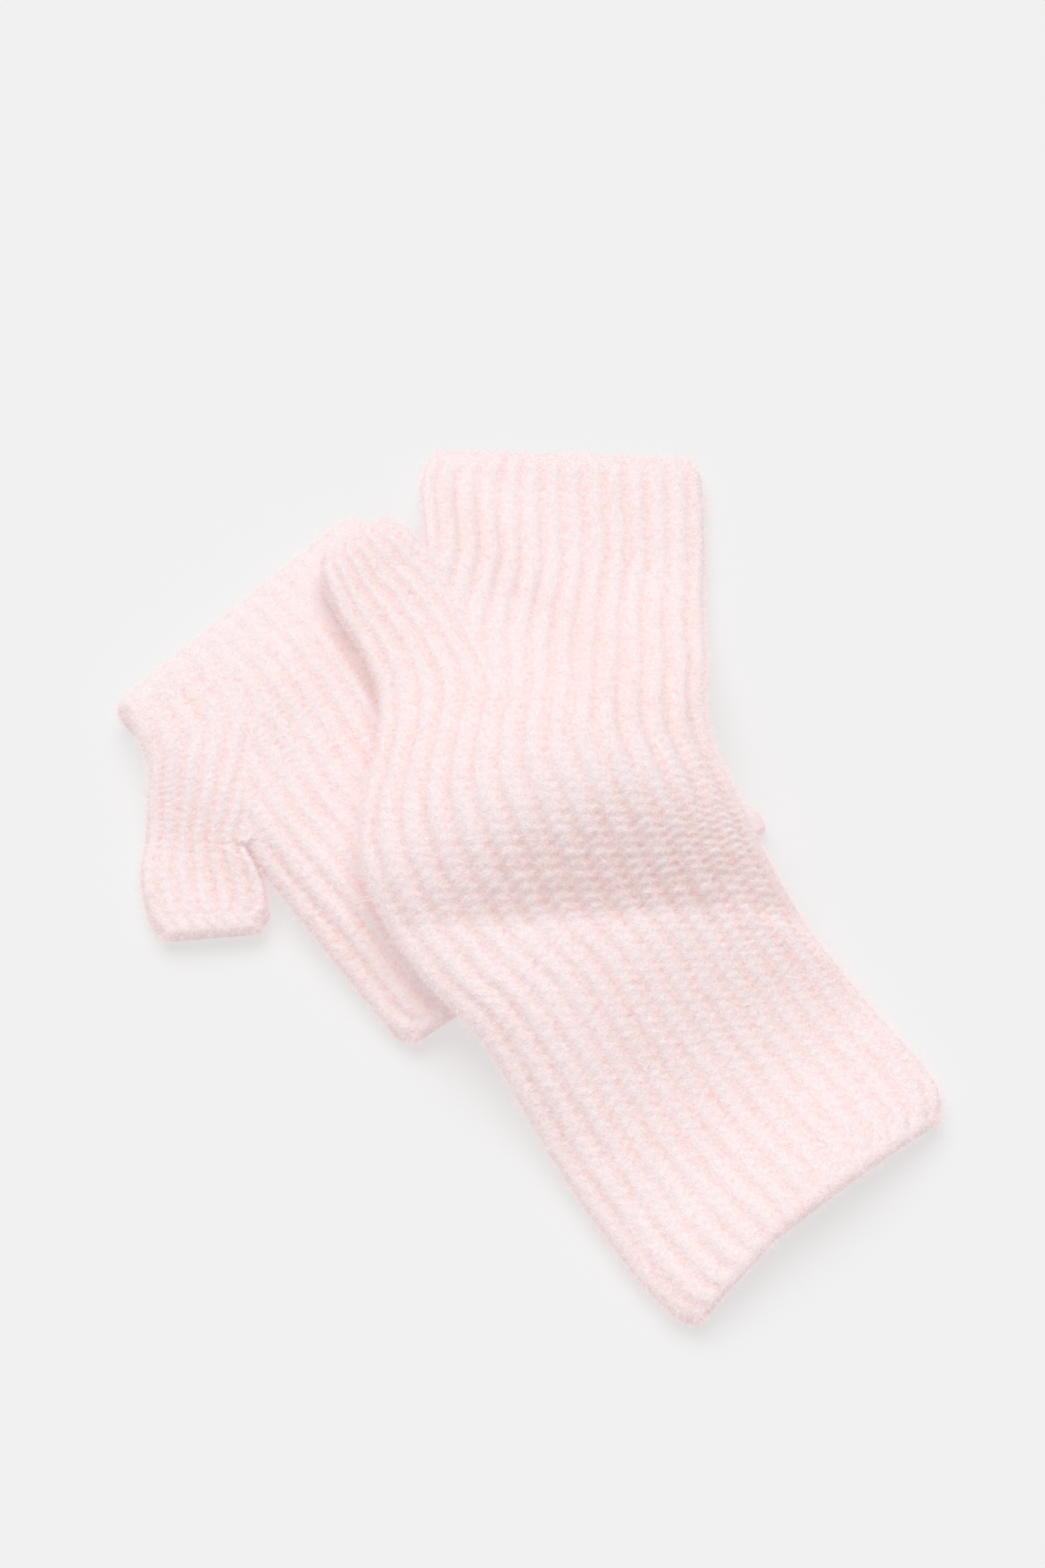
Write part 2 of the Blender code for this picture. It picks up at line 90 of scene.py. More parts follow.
# The way the layers lie
SEAM_GAP = 0.3
LAYER_GAP = 0.4
LOWER_PUFF = 1.0
LOWER_DRAPES = (16.0, 16.0, 16.0, 28.0)
UPPER_DRAPES = (62.0, 40.0, 40.0, 40.0)
HUMP_FALL = 85.0
HUMP_STEEPNESS = 2.2
HUMP_FOOT_ROUND = 0.3
HUMP_HOLLOW = 0.4
CUFF_ARCH = 6.0
PUFF_POWER = 0.7


class Skin(Enum):
    """Which face of the wall a grid is."""

    OUTSIDE = "outside"
    INSIDE = "inside"


class Rim(Enum):
    """How an end of a tube is finished."""

    BOUND_OFF = "bound off"
    PICKED_UP = "picked up"


class TrunkRow(NamedTuple):
    """One row across sleeve and gusset: its thumb's edge, the fork's line, its far edge, arch and puff."""

    thumb_x: float
    thumb_y: float
    fork_x: float
    fork_y: float
    far_x: float
    far_y: float
    arch: float
    puff: float


class LegRow(NamedTuple):
    """One row across the hand or the thumb, past the fork: its two edges, arch and puff."""

    near_x: float
    near_y: float
    far_x: float
    far_y: float
    arch: float
    puff: float


# The columns of a table's points: those of a trunk's row, and those of a leg's
THUMB_EDGE, FORK_POINT, FAR_EDGE = slice(0, 2), slice(2, 4), slice(4, 6)
LEG_NEAR, LEG_FAR = slice(0, 2), slice(2, 4)


class HumpRow(NamedTuple):
    """Where the upper mitten's hump starts to rise and is highest, at one place from left to right."""

    x: float
    foot_y: float
    crest_y: float
    rise: float


def plain_row(thumb_x: float, thumb_y: float, far_x: float, far_y: float, puff: float) -> TrunkRow:
    """A flat sleeve row, whose fork line lies at the thumb's share of the ribs.

    Args:
        thumb_x, thumb_y: the edge on the thumb's side.
        far_x, far_y: the other edge.
        puff: how far the walls are parted.

    Returns:
        The row with its fork point.
    """
    fork_x = thumb_x + (far_x - thumb_x) * FORK_SHARE
    fork_y = thumb_y + (far_y - thumb_y) * FORK_SHARE
    return TrunkRow(thumb_x, thumb_y, fork_x, fork_y, far_x, far_y, 0, puff)


# The upper mitten, from its cuff to the fork, and on to the ends of the hand and the thumb
UPPER_TRUNK = (
    TrunkRow(46, -173, 68.5, -148, 117, -109, CUFF_ARCH, 1),
    TrunkRow(36, -163, 61.6, -138.4, 113, -97, 0.6 * CUFF_ARCH, 1.5),
    plain_row(20, -141, 100, -79, 2),
    plain_row(3, -114, 84, -59, 2),
    plain_row(-11, -92, 74, -45, 2),
    plain_row(-25, -77, 67, -35, 2),
    plain_row(-37, -60, 62, -25, 3),
    plain_row(-44, -45, 57, -14, 4),
    plain_row(-46, -31, 53, -3, 5),
    plain_row(-44, -16, 52, 8, 5),
    plain_row(-41, 1, 52, 20, 3),
    TrunkRow(-41, 16, -9, 18, 53, 32, 0, 2),
    TrunkRow(-46, 30, -18, 41, 53, 52, 0, 2),
    TrunkRow(-53, 43, -28, 66, 54, 74, 0, 1.5),
)
UPPER_GUSSET_START = 11
UPPER_HAND = (
    LegRow(-28, 66, 54, 74, 0, 1.5),
    LegRow(-29, 84, 54, 87, 0, 1.5),
    LegRow(-30, 97, 54, 98, 0, 1),
    LegRow(-28, 112, 53, 108, 0, 0.5),
)
UPPER_THUMB = (
    LegRow(-53, 43, -28, 66, 0, 1.5),
    LegRow(-57, 52, -33, 72, 0, 1.5),
    LegRow(-60.5, 61, -38.5, 78, 0, 1),
)
UPPER_HUMP = (HumpRow(-48, -64, -42, 5), HumpRow(16, -60, -20, 20), HumpRow(58, -55, -8, 29))
# Rough edges of its thumb and hand past the fork, which hide what lies below them
UPPER_BEYOND = (TrunkRow(-60, 60, 0, 0, 54, 84, 0, 0), TrunkRow(-38, 78, 0, 0, 54, 97, 0, 0))

# The lower mitten: its sleeve lies face down under the hand, which comes back over it from the fold
LOWER_SLEEVE = (
    plain_row(11, -88, 71.5, -15, 0),
    plain_row(-30, -54, 32, 17, 0),
    plain_row(-72, -20, -7, 48, 0),
    plain_row(-114.5, 15.5, -47.5, 81.5, 0),
)
LOWER_TRUNK = (
    plain_row(-114.5, 15.5, -47.5, 81.5, 0),
    TrunkRow(-108, 1, -76, 19, -31, 59, 0, LOWER_PUFF),
    TrunkRow(-108, -10, -79, -2, -20, 41, 0, LOWER_PUFF),
    TrunkRow(-108, -22, -79, -27, -7, 18, 0, LOWER_PUFF),
)
LOWER_GUSSET_START = 1
LOWER_HAND = (
    LegRow(-79, -27, -7, 18, 0, LOWER_PUFF),
    LegRow(-57, -56, 15, -11, 0, LOWER_PUFF),
    LegRow(-33, -87, 39, -44, 0, 0.5 * LOWER_PUFF),
)
LOWER_THUMB = (
    LegRow(-108, -22, -79, -27, 0, LOWER_PUFF),
    LegRow(-109, -35, -74, -38, 0, LOWER_PUFF),
    LegRow(-104, -53, -72.5, -49.5, 0, 0.5 * LOWER_PUFF),
)

# What the layers above lie on, as outlines seen from above, each turning left
LOWER_SLEEVE_PATCH = ((11, -88), (71.5, -15), (-52.5, 86.5), (-119.5, 20.5))
LOWER_HAND_PATCH = ((-33, -87), (39, -44), (-52.5, 86.5), (-119.5, 20.5))


def ease(share: Array) -> Array:
    """0 at 0 and 1 at 1, with no slope at either end."""
    share = np.clip(share, 0.0, 1.0)
    return share * share * (3 - 2 * share)


def quarter_round(share: Array) -> Array:
    """Rises from 0 to 1 along a quarter of a circle."""
    share = np.clip(share, 0.0, 1.0)
    return np.sqrt(1 - (1 - share) ** 2)


def cover(x: Array, y: Array, patch: Sequence[tuple], drapes: Sequence[float]) -> Array:
    """1 over a patch, falling to 0 at each side's drape outside it.

    Args:
        x, y: places in the working frame.
        patch: the patch's corners, turning left.
        drapes: how far the cloth above hangs out over each of the patch's sides.

    Returns:
        The cover at each place.
    """
    outside = np.full(np.shape(x), -np.inf)
    for (ax, ay), (bx, by), drape in zip(patch, patch[1:] + patch[:1], drapes):
        length = math.hypot(bx - ax, by - ay)
        outside = np.maximum(outside, ((x - ax) * (by - ay) - (y - ay) * (bx - ax)) / (length * drape))
    return 1 - ease(outside)


@dataclass(frozen=True)
class Ground:
    """What the lower mitten's hand and thumb lie on: their own sleeve, or the table."""

    drapes: tuple = LOWER_DRAPES

    def rest(self, x: Array, y: Array) -> Array:
        """Height of the tube's underside at each place."""
        return (TUBE + SEAM_GAP) * cover(x, y, LOWER_SLEEVE_PATCH, self.drapes)

    def fill(self, x: Array, y: Array) -> Array:
        """How far the ground's shape parts the tube's walls at each place."""
        return np.zeros_like(x)


@dataclass(frozen=True)
class HumpedGround(Ground):
    """What the upper mitten lies on: the lower mitten's layers or the table, with its own hump on top."""

    drapes: tuple = UPPER_DRAPES
    hump_rows: tuple = UPPER_HUMP
    fall: float = HUMP_FALL
    steepness: float = HUMP_STEEPNESS
    foot_round: float = HUMP_FOOT_ROUND
    hollow: float = HUMP_HOLLOW

    def through_three(self, x: Array, column: str) -> Array:
        """The value at x of the parabola through the hump's three rows.

        Args:
            x: places from left to right.
            column: the name of the rows' value.

        Returns:
            The value at each place.
        """
        made = np.zeros_like(x)
        for row in self.hump_rows:
            weight = np.ones_like(x)
            for other in self.hump_rows:
                if other is not row:
                    weight = weight * (x - other.x) / (row.x - other.x)
            made = made + weight * getattr(row, column)
        return made

    def hump(self, x: Array, y: Array) -> Array:
        """Rise over what lies below: steep over its round foot, round at its crest and slow beyond.

        Args:
            x, y: places in the working frame.

        Returns:
            The rise at each place.
        """
        x = np.clip(x, self.hump_rows[0].x, self.hump_rows[-1].x)
        foot, crest, rise = (self.through_three(x, name) for name in ("foot_y", "crest_y", "rise"))
        share = np.clip((y - foot) / (crest - foot), 0.0, 1.0)
        share = share**2 * (1 + self.foot_round) / (share + self.foot_round)
        climbing = 1 - (1 - share) ** self.steepness
        falling = 1 - ease((y - crest) / self.fall)
        return rise * np.where(y < crest, climbing, falling)

    def rest(self, x: Array, y: Array) -> Array:
        """Height of the tube's underside at each place.

        Args:
            x, y: places in the working frame.

        Returns:
            The height at each place.
        """
        sleeve = (TUBE + LAYER_GAP) * cover(x, y, LOWER_SLEEVE_PATCH, self.drapes)
        hand_height = TUBE + RIB_RISE + LOWER_PUFF + 2 * LAYER_GAP
        hand = hand_height * cover(x, y, LOWER_HAND_PATCH, self.drapes)
        return sleeve + hand + (1 - self.hollow) * self.hump(x, y)

    def fill(self, x: Array, y: Array) -> Array:
        """How far the hump parts the tube's walls at each place."""
        return self.hollow * self.hump(x, y)


def through_rows(rows: Sequence[NamedTuple], step: float, first_step: Optional[float] = None) -> Array:
    """Rows on a smooth curve through the given ones.

    Args:
        rows: the table.
        step: the distance between rows.
        first_step: the same between the table's first two rows, where it differs.

    Returns:
        One line of numbers for each row, with the table's own rows among them.
    """
    table = np.array(rows, float)
    before = np.vstack([2 * table[0] - table[1], table[:-1]])
    after = np.vstack([table[1:], 2 * table[-1] - table[-2]])
    slope = (after - before) / 2
    made = [table[:1]]
    for i in range(len(table) - 1):
        span = table[i + 1] - table[i]
        # Every row starts with a point, and ends with a point, arch and puff
        longest = max(math.hypot(*span[:2]), math.hypot(*span[-4:-2]))
        count = max(1, round(longest / (first_step if first_step and i == 0 else step)))
        t = (np.arange(1, count + 1) / count)[:, None]
        made.append(
            (1 + 2 * t) * (1 - t) ** 2 * table[i]
            + t * (1 - t) ** 2 * slope[i]
            + t * t * (3 - 2 * t) * table[i + 1]
            - t * t * (1 - t) * slope[i + 1]
        )
    return np.vstack(made)


@dataclass
class Rows:
    """Rows of one side of a forked tube, the hand's or the thumb's, as columns of numbers.

    outer and inner are the side's two edges, arch and puff are as in the tables, and ratio is the side's
    share of the whole row. past is the distance beyond the fork, pitch is a rib's width, and turn is the
    angle round the fold, which only folded rows have.
    """

    outer: Array
    inner: Array
    arch: Array
    puff: Array
    ratio: Array
    past: Array
    pitch: Array
    turn: Array

    @property
    def length(self) -> Array:
        """Distance from the outer edge to the inner one, in each row."""
        return np.linalg.norm(self.inner - self.outer, axis=1)

    def pick(self, which: Array) -> "Rows":
        """Only some of the rows."""
        return Rows(*(getattr(self, name)[which] for name in self.__dataclass_fields__))


@dataclass
class Grid:
    """Points of one skin: rows by columns, with what each point knows about the knit."""

    points: Array
    loft: Array
    nap: Array
    across: Array
    courses: Array
    chain: int

    @property
    def knit(self) -> Array:
        """Where each point lies on the knit, across and along, in millimetres."""
        along = np.broadcast_to(self.courses[:, None] * COURSE, self.across.shape)
        return np.stack([self.across.reshape(-1), along.reshape(-1)], axis=1)

    def cut(self, rows: slice, width: Optional[int] = None) -> "Grid":
        """Some of its rows, and only the first points of each where a width is given.

        Args:
            rows: which rows.
            width: how many points of each row.

        Returns:
            The smaller grid.
        """
        fields = (self.points, self.loft, self.nap, self.across)
        return Grid(*(values[rows, :width] for values in fields), self.courses[rows], width or self.chain)


@dataclass(frozen=True)
class Columns:
    """How many points a row has: under the tube, round its outer edge, over it, and round its inner edge."""

    under: int
    edge: int
    over: int
    web: int

    @property
    def chain(self) -> int:
        """Points of a row that has no inner edge."""
        return self.under + self.edge + self.over

    @property
    def top(self) -> int:
        """Number of the point in the middle of the upper side."""
        return self.under + self.edge + self.over // 2


HAND_COLUMNS = Columns(under=30, edge=15, over=100, web=15)
THUMB_COLUMNS = Columns(under=15, edge=15, over=44, web=15)

# Past the fork, hand and thumb get round inner edges and then walls that part by themselves
FORK_ROUND = 6.0
PARTING = 12.0
# Distance over the skin round an edge, for each radian of its turn
SIDE_RUN = 3.8
# A bound-off rim takes the place of the last rows, bulges out over its top and is thick with nap
RIM_ROWS = 2
RIM_OVERHANG = 1.2
RIM_NAP = 2.4
RIM_TURNS = (30, 60, 90, 120, 150)
CORNER_RADIUS = 4.0
CORNER_START = 0.8
# Ribs sink where they meet along the gusset's line, and their width changes over some rows
VEE_FADE = 1.4
PITCH_BLEND = 7
# A slope of this much draws the stitches fully open, and gives them the full painted shade tint
OPEN_SLOPE = 0.3
# Halfway round the fold the relief is half risen, and this is the turn, in degrees, that its rise takes
FOLD_TURN = 90


@dataclass(frozen=True)
class Knit:
    """The relief of a chunky half cardigan rib, felted by brushing."""

    rib_rise: float = 0.85 * RIB_RISE
    rib_fullness: float = 0.8
    stitch_rise: float = 0.22
    leg_slant: float = 0.38
    parting_depth: float = 0.16
    parting_width: float = 0.16
    pocket_depth: float = 0.3
    drift_waves: tuple = ((0.9, 0.31, 0.0), (1.7, -0.23, 1.3), (2.1, 0.57, 0.0))
    rib_wander: float = 0.05
    row_wander: float = 0.12
    unevenness: float = 0.18
    rib_loft: float = 0.85
    rib_loft_power: float = 0.6
    leg_loft: float = 0.15
    uneven_loft: float = 0.25
    clump_loft: float = 0.5
    edge_reach: float = 4.5
    edge_share: float = 0.6
    edge_bloom: float = 1.3
    fold_reach: float = 34.0
    fold_share: float = 0.45
    clump_rise: float = 0.5
    open_gain: float = 2.5
    # Partly painted shade: how far sloping, opened stitches take the valleys' pinker tone, over the ribs and
    # all over
    open_tint: float = 0.9
    open_tint_all_over: float = 0.35

    def drift(self, u: Array, v: Array) -> Array:
        """Slow uneven waves, from -1 to 1, that keep ribs and rows from being too regular."""
        waves = sum(np.sin(across * u + along * v + start) for across, along, start in self.drift_waves)
        return waves / len(self.drift_waves)

    def bound(self, distance: Array) -> Array:
        """The share of the relief that is left at that distance from a bound-off edge."""
        return self.edge_share + (1 - self.edge_share) * ease(distance / self.edge_reach)

    def felted(self, distance: Array) -> Array:
        """The share of the relief that is left at that distance from the fold, which is rubbed flat."""
        return self.fold_share + (1 - self.fold_share) * ease(distance / self.fold_reach)

    def relief(self, u: Array, v: Array, opened: Array) -> tuple[Array, Array]:
        """Height of the knit over its valleys.

        Args:
            u: place across, in ribs; a valley is at each whole number.
            v: place along, in rows of stitches.
            opened: how far the stitches are drawn open, from 0 to 1, where the cloth bends over the hump.

        Returns:
            The height in millimetres, and the loft: 0 in a valley and 1 on a rib.
        """
        u = u + self.rib_wander * self.drift(0.35 * u, 0.8 * v)
        v = v + self.row_wander * self.drift(1.3 * u, 0.4 * v)
        swell = 0.5 - 0.5 * np.cos(2 * np.pi * u)
        crest = swell**self.rib_fullness
        middle = np.abs(2 * (u - np.floor(u)) - 1)
        leg = 0.5 + 0.5 * np.cos(2 * np.pi * (v + self.leg_slant * middle))
        pocket = 0.5 + 0.5 * np.cos(2 * np.pi * v)
        parting = np.exp(-((middle / self.parting_width) ** 2))
        uneven = 1 + self.unevenness * self.drift(3.1 * u, 1.9 * v)
        clump = opened * self.drift(1.3 * u, 5.2 * v)
        height = self.rib_rise * crest * uneven + self.clump_rise * clump * swell
        height = height + self.stitch_rise * (1 + self.open_gain * opened) * swell * (leg - 0.5)
        height = height - self.parting_depth * parting
        height = height - self.pocket_depth * (1 + self.open_gain * opened) * (1 - swell) ** 3 * pocket
        loft = self.rib_loft * swell**self.rib_loft_power + self.leg_loft * leg * swell
        loft = loft + self.uneven_loft * (uneven - 1) + self.clump_loft * clump
        # Painted shade, partly real: where the cloth slopes the loft sinks to the valleys' warmer tone, for
        # the opened stitches and for the shade on that slope
        tint = self.open_tint_all_over + (1 - self.open_tint_all_over) * (1 - leg * swell)
        loft = np.clip(loft - self.open_tint * opened * tint, 0.0, 1.0)
        return height, loft


KNIT = Knit()


@dataclass
class Strip:
    """Makes the grids of one side of a forked tube.

    gusset is how far before the fork the gusset starts, and mirrored says whether the ribs are counted down
    from the outer edge, and not up.
    """

    rows: Rows
    columns: Columns
    ground: Ground
    gusset: float
    mirrored: bool

    def place(self, rows: Rows, along: Array, height: Array, plump: Array) -> Array:
        """Points of the tube.

        Args:
            rows: the rows that the points lie on.
            along: distance from the outer edge, for each row and column.
            height: distance over the tube's underside.
            plump: the share of the puff that a point takes.

        Returns:
            The points, in the working frame.
        """
        part = (along / rows.length[:, None])[..., None]
        flat = rows.outer[:, None, :] * (1 - part) + rows.inner[:, None, :] * part
        share = part[..., 0] * rows.ratio[:, None]
        x, y = flat[..., 0], flat[..., 1]
        puff = rows.puff[:, None] + self.ground.fill(x, y)
        over = height + puff * plump * np.sin(np.pi * np.clip(share, 0, 1)) ** PUFF_POWER
        z = self.ground.rest(x, y) + 4 * rows.arch[:, None] * share * (1 - share) + over
        rolled = np.isfinite(rows.turn)
        if rolled.any():
            outward = fold_outward()
            turn = np.radians(rows.turn[rolled])[:, None]
            reach = height[rolled] + SEAM_GAP / 2
            x[rolled] += outward[0] * np.sin(turn) * reach
            y[rolled] += outward[1] * np.sin(turn) * reach
            z[rolled] = TUBE + SEAM_GAP / 2 - np.cos(turn) * reach
        return np.stack([x, y, z], axis=-1)

    def spread(self, rows: Rows, skin: Skin) -> tuple[Array, ...]:
        """Where each column of each row lies.

        Args:
            rows: the rows.
            skin: the outside or the inside of the wall.

        Returns:
            Distance along, height, plumpness, and the run: distance over the skin from the top's outer end.
        """
        inset = 0.0 if skin is Skin.OUTSIDE else WALL
        low, high = inset, TUBE - inset
        reach = EDGE_ROUND - inset
        width = rows.length[:, None]
        if skin is Skin.OUTSIDE:
            web = EDGE_ROUND * quarter_round(rows.past / FORK_ROUND)[:, None]
            stop = width - web
            tip = width
        else:
            margin = WALL * quarter_round((rows.past + WALL) / WALL)[:, None]
            web = reach * np.minimum(1.0, margin / WALL)
            tip = width - margin
            stop = tip - web
        blank = np.zeros_like(width)
        q_under = np.linspace(1, 0, self.columns.under, endpoint=False)[None, :]
        turn_edge = np.linspace(-np.pi / 2, np.pi / 2, self.columns.edge)[None, :]
        q_over = np.linspace(0, 1, self.columns.over + 1)[None, 1:]
        turn_web = np.linspace(np.pi / 2, -np.pi / 2, self.columns.web + 2)[None, 1:-1]
        start = inset + reach
        under = start + q_under * (stop - start)
        edge = inset + reach * (1 - np.cos(turn_edge)) + blank
        over = start + q_over * (stop - start)
        inner = tip - web * (1 - np.cos(turn_web))
        along = np.hstack([under, edge, over, inner])
        rise_edge = (1 + np.sin(turn_edge)) / 2 + blank
        rise_web = (1 + np.sin(turn_web)) / 2 + blank
        rise = np.hstack([0 * under, rise_edge, 0 * over + 1, rise_web])
        height = low + (high - low) * rise
        run_edge = -SIDE_RUN * (np.pi / 2 - turn_edge) + blank
        run_web = stop - start + SIDE_RUN * (np.pi / 2 - turn_web)
        run = np.hstack([-SIDE_RUN * np.pi - under, run_edge, over - start, run_web])
        return along, height, rise, run

    def normals(self, points: Array) -> Array:
        """Unit normals that point out of the tube.

        Args:
            points: the outside's points before they are raised.

        Returns:
            One normal for each point.
        """
        made = np.cross(np.gradient(points, axis=0), np.gradient(points, axis=1))
        made /= np.maximum(np.linalg.norm(made, axis=-1, keepdims=True), TINY)
        return made if made[-1, self.columns.top, 2] > 0 else -made

    def courses(self, points: Array, start: Optional[Array] = None) -> Array:
        """Distance along the knit of each row, in rows of stitches.

        Args:
            points: the outside's points before they are raised.
            start: the distances of the first rows, where another strip has settled them.

        Returns:
            One number for each row.
        """
        middle = points[:, self.columns.top]
        steps = np.linalg.norm(np.diff(middle, axis=0), axis=1) / COURSE
        made = np.concatenate([[0.0], np.cumsum(steps)])
        if start is not None:
            made = np.concatenate([start, start[-1] + made[len(start) :] - made[len(start) - 1]])
        return made

    def masks(self, rows: Rows, along: Array, rise: Array) -> Array:
        """How much of the relief each point of the outside takes: none where it lies flat or at the fork.

        Args:
            rows: the rows.
            along, rise: as spread gives them.

        Returns:
            A share from 0 to 1 for each point.
        """
        columns = self.columns
        made = np.ones_like(along)
        made[:, : columns.under] = 0.0
        made *= np.where(rise < 0.5, ease(rise * 2), 1.0)
        web = EDGE_ROUND * quarter_round(rows.past / FORK_ROUND)[:, None]
        gap = rows.length[:, None] - along - web
        opened = ease(rows.past[:, None] / FORK_ROUND)
        before = ease((-rows.past[:, None] - self.gusset) / FORK_ROUND)
        near = 1 - (1 - ease(gap / VEE_FADE)) * (1 - opened) * (1 - before)
        over = slice(columns.under + columns.edge, columns.chain)
        made[:, over] *= near[:, over]
        made[:, columns.chain :] *= opened
        rolled = np.isfinite(rows.turn)
        made[rolled] *= ease(rows.turn[rolled] / FOLD_TURN - 0.5)[:, None]
        return made

    def outside(self, start: Optional[Array], ends: Sequence[int], shown: "Shown") -> Grid:
        """The grid of the outside, with its ribs and stitches raised.

        Args:
            start: courses of the first rows, where another strip has settled them.
            ends: the numbers of the rows that are bound-off edges.
            shown: says where the nap stands.

        Returns:
            The grid.
        """
        along, height, rise, run = self.spread(self.rows, Skin.OUTSIDE)
        points = self.place(self.rows, along, height, rise)
        courses = self.courses(points, start)
        normals = self.normals(points)
        mask = self.masks(self.rows, along, rise)
        mask = np.maximum(mask, shown.corner(points, self.rows) * (height <= 0))
        u = run / self.rows.pitch[:, None]
        u = SLEEVE_RIBS - u if self.mirrored else u
        # How far the cloth slopes: it opens the stitches, and tints them with painted shade
        opened = ease((1 - normals[..., 2]) / OPEN_SLOPE) * (rise == 1)
        relief, loft = KNIT.relief(u, courses[:, None] + 0 * u, opened)
        edge = np.ones(len(courses))
        for end in ends:
            distance = np.abs(courses - courses[end]) * COURSE
            edge = np.minimum(edge, KNIT.bound(distance))
        rolled = np.flatnonzero(np.isfinite(self.rows.turn))
        if len(rolled):
            distance = (courses - courses[rolled[-1]]) * COURSE
            edge = np.minimum(edge, KNIT.felted(distance))
        relief = relief * edge[:, None]
        loft = 1 - (1 - loft) * (1 - KNIT.edge_bloom * (1 - edge[:, None]))
        raised = points + normals * (relief * mask)[..., None]
        raised[..., 2] = np.maximum(raised[..., 2], 0.0)
        nap = shown.nap(points, self.rows, rise, self.columns)
        return Grid(raised, loft, nap, run, courses, self.columns.chain)

    def inside(self, picked: Array) -> Grid:
        """The plain grid of the wall's other face, on some of the rows.

        Args:
            picked: the numbers of those rows.

        Returns:
            The grid.
        """
        rows = self.rows.pick(picked)
        along, height, rise, run = self.spread(rows, Skin.INSIDE)
        points = self.place(rows, along, height, rise)
        blank = np.zeros(points.shape[:2])
        return Grid(points, blank + 0.5, blank, run, blank[:, 0], self.columns.chain)


def corner_inset(distance: Array) -> Array:
    """How far an edge draws in at that distance from a bound-off end, which rounds the corner."""
    left = np.clip(CORNER_RADIUS - CORNER_START - distance, 0.0, None)
    return CORNER_RADIUS - np.sqrt(CORNER_RADIUS**2 - left**2)


def fold_outward() -> Array:
    """The way out from the lower mitten's fold, seen from above."""
    fold = LOWER_SLEEVE[-1]
    along = np.array([fold.far_x - fold.thumb_x, fold.far_y - fold.thumb_y])
    return np.array([-along[1], along[0]]) / np.linalg.norm(along)


@dataclass(frozen=True)
class Shown:
    """Says which of a mitten's points show, and so carry a nap. This one is for the upper mitten."""

    side_limit: float = 0.15
    side_fade: float = 0.3
    side_extra: float = 1.2

    def corner(self, points: Array, rows: Rows) -> Array:
        """The share of relief on an underside that shows: none."""
        return np.zeros(points.shape[:2])

    def nap(self, points: Array, rows: Rows, rise: Array, columns: Columns) -> Array:
        """How thick the nap stands at each point: over the tops and down the sides, not underneath.

        Args:
            points: the outside's points before they are raised; not used here.
            rows: the rows that they lie on; not used here.
            rise: 0 underneath, 1 on top and between them round an edge.
            columns: how the rows are divided.

        Returns:
            Thickness at each point, 1 on top.
        """
        sides = 4 * rise * (1 - rise)
        made = ease((rise - self.side_limit) / self.side_fade) * (1 + self.side_extra * sides)
        made[:, : columns.under] = 0.0
        return made


@dataclass(frozen=True)
class ShownBelow(Shown):
    """The lower mitten shows on the left of the upper one, at its fold, and at one corner of its cuff."""

    tuck: float = 2.0
    corner_fade: float = 3.0
    sleeve_top: float = 0.75
    turn_limit: float = 20.0
    turn_fade: float = 40.0

    def edge_x(self, y: Array, far: bool) -> Array:
        """Where the upper mitten's left or right edge lies at each y.

        Args:
            y: places from near to far.
            far: whether the right edge is asked for.

        Returns:
            The edge's x at each place.
        """
        rows = UPPER_TRUNK + UPPER_BEYOND
        places = sorted((row.far_y, row.far_x) if far else (row.thumb_y, row.thumb_x) for row in rows)
        return np.interp(y, [p[0] for p in places], [p[1] for p in places])

    def corner(self, points: Array, rows: Rows) -> Array:
        """The share of relief on the turned-up face of the sleeve: full where it comes out on the right.

        Args:
            points: the outside's points before they are raised.
            rows: the rows that they lie on.

        Returns:
            A share from 0 to 1 for each point.
        """
        x, y = points[..., 0], points[..., 1]
        out = ease((x - self.edge_x(y, True) - self.tuck) / self.corner_fade)
        return out * (np.isfinite(rows.turn) & (np.nan_to_num(rows.turn) == 0))[:, None]

    def nap(self, points: Array, rows: Rows, rise: Array, columns: Columns) -> Array:
        """How thick the nap stands at each point that the upper mitten leaves bare.

        Args:
            points, rows, rise, columns: as for the upper mitten.

        Returns:
            Thickness at each point, 1 on top.
        """
        made = super().nap(points, rows, rise, columns)
        x, y = points[..., 0], points[..., 1]
        left = ease((self.edge_x(y, False) + self.tuck - x) / self.tuck)
        turn = np.nan_to_num(rows.turn, nan=180.0)[:, None]
        made = made * left * ease((turn - self.turn_limit) / self.turn_fade)
        on_sleeve = self.corner(points, rows) * ease((self.sleeve_top - rise) / self.side_fade)
        return np.maximum(made, on_sleeve)


# The knit map's unit and the distance that is welded, in millimetres, and the angle that stays sharp
KNIT_MAP_MM = 100
WELD = 0.002
SHARP_FROM = 72


def add_object(name: str, data: bpy.types.ID) -> bpy.types.Object:
    """Makes an object in the scene of a mesh, a light or a camera.

    Args:
        name: its name.
        data: the mesh, light or camera.

    Returns:
        The object.
    """
    made = bpy.data.objects.new(name, data)
    bpy.context.scene.collection.objects.link(made)
    return made


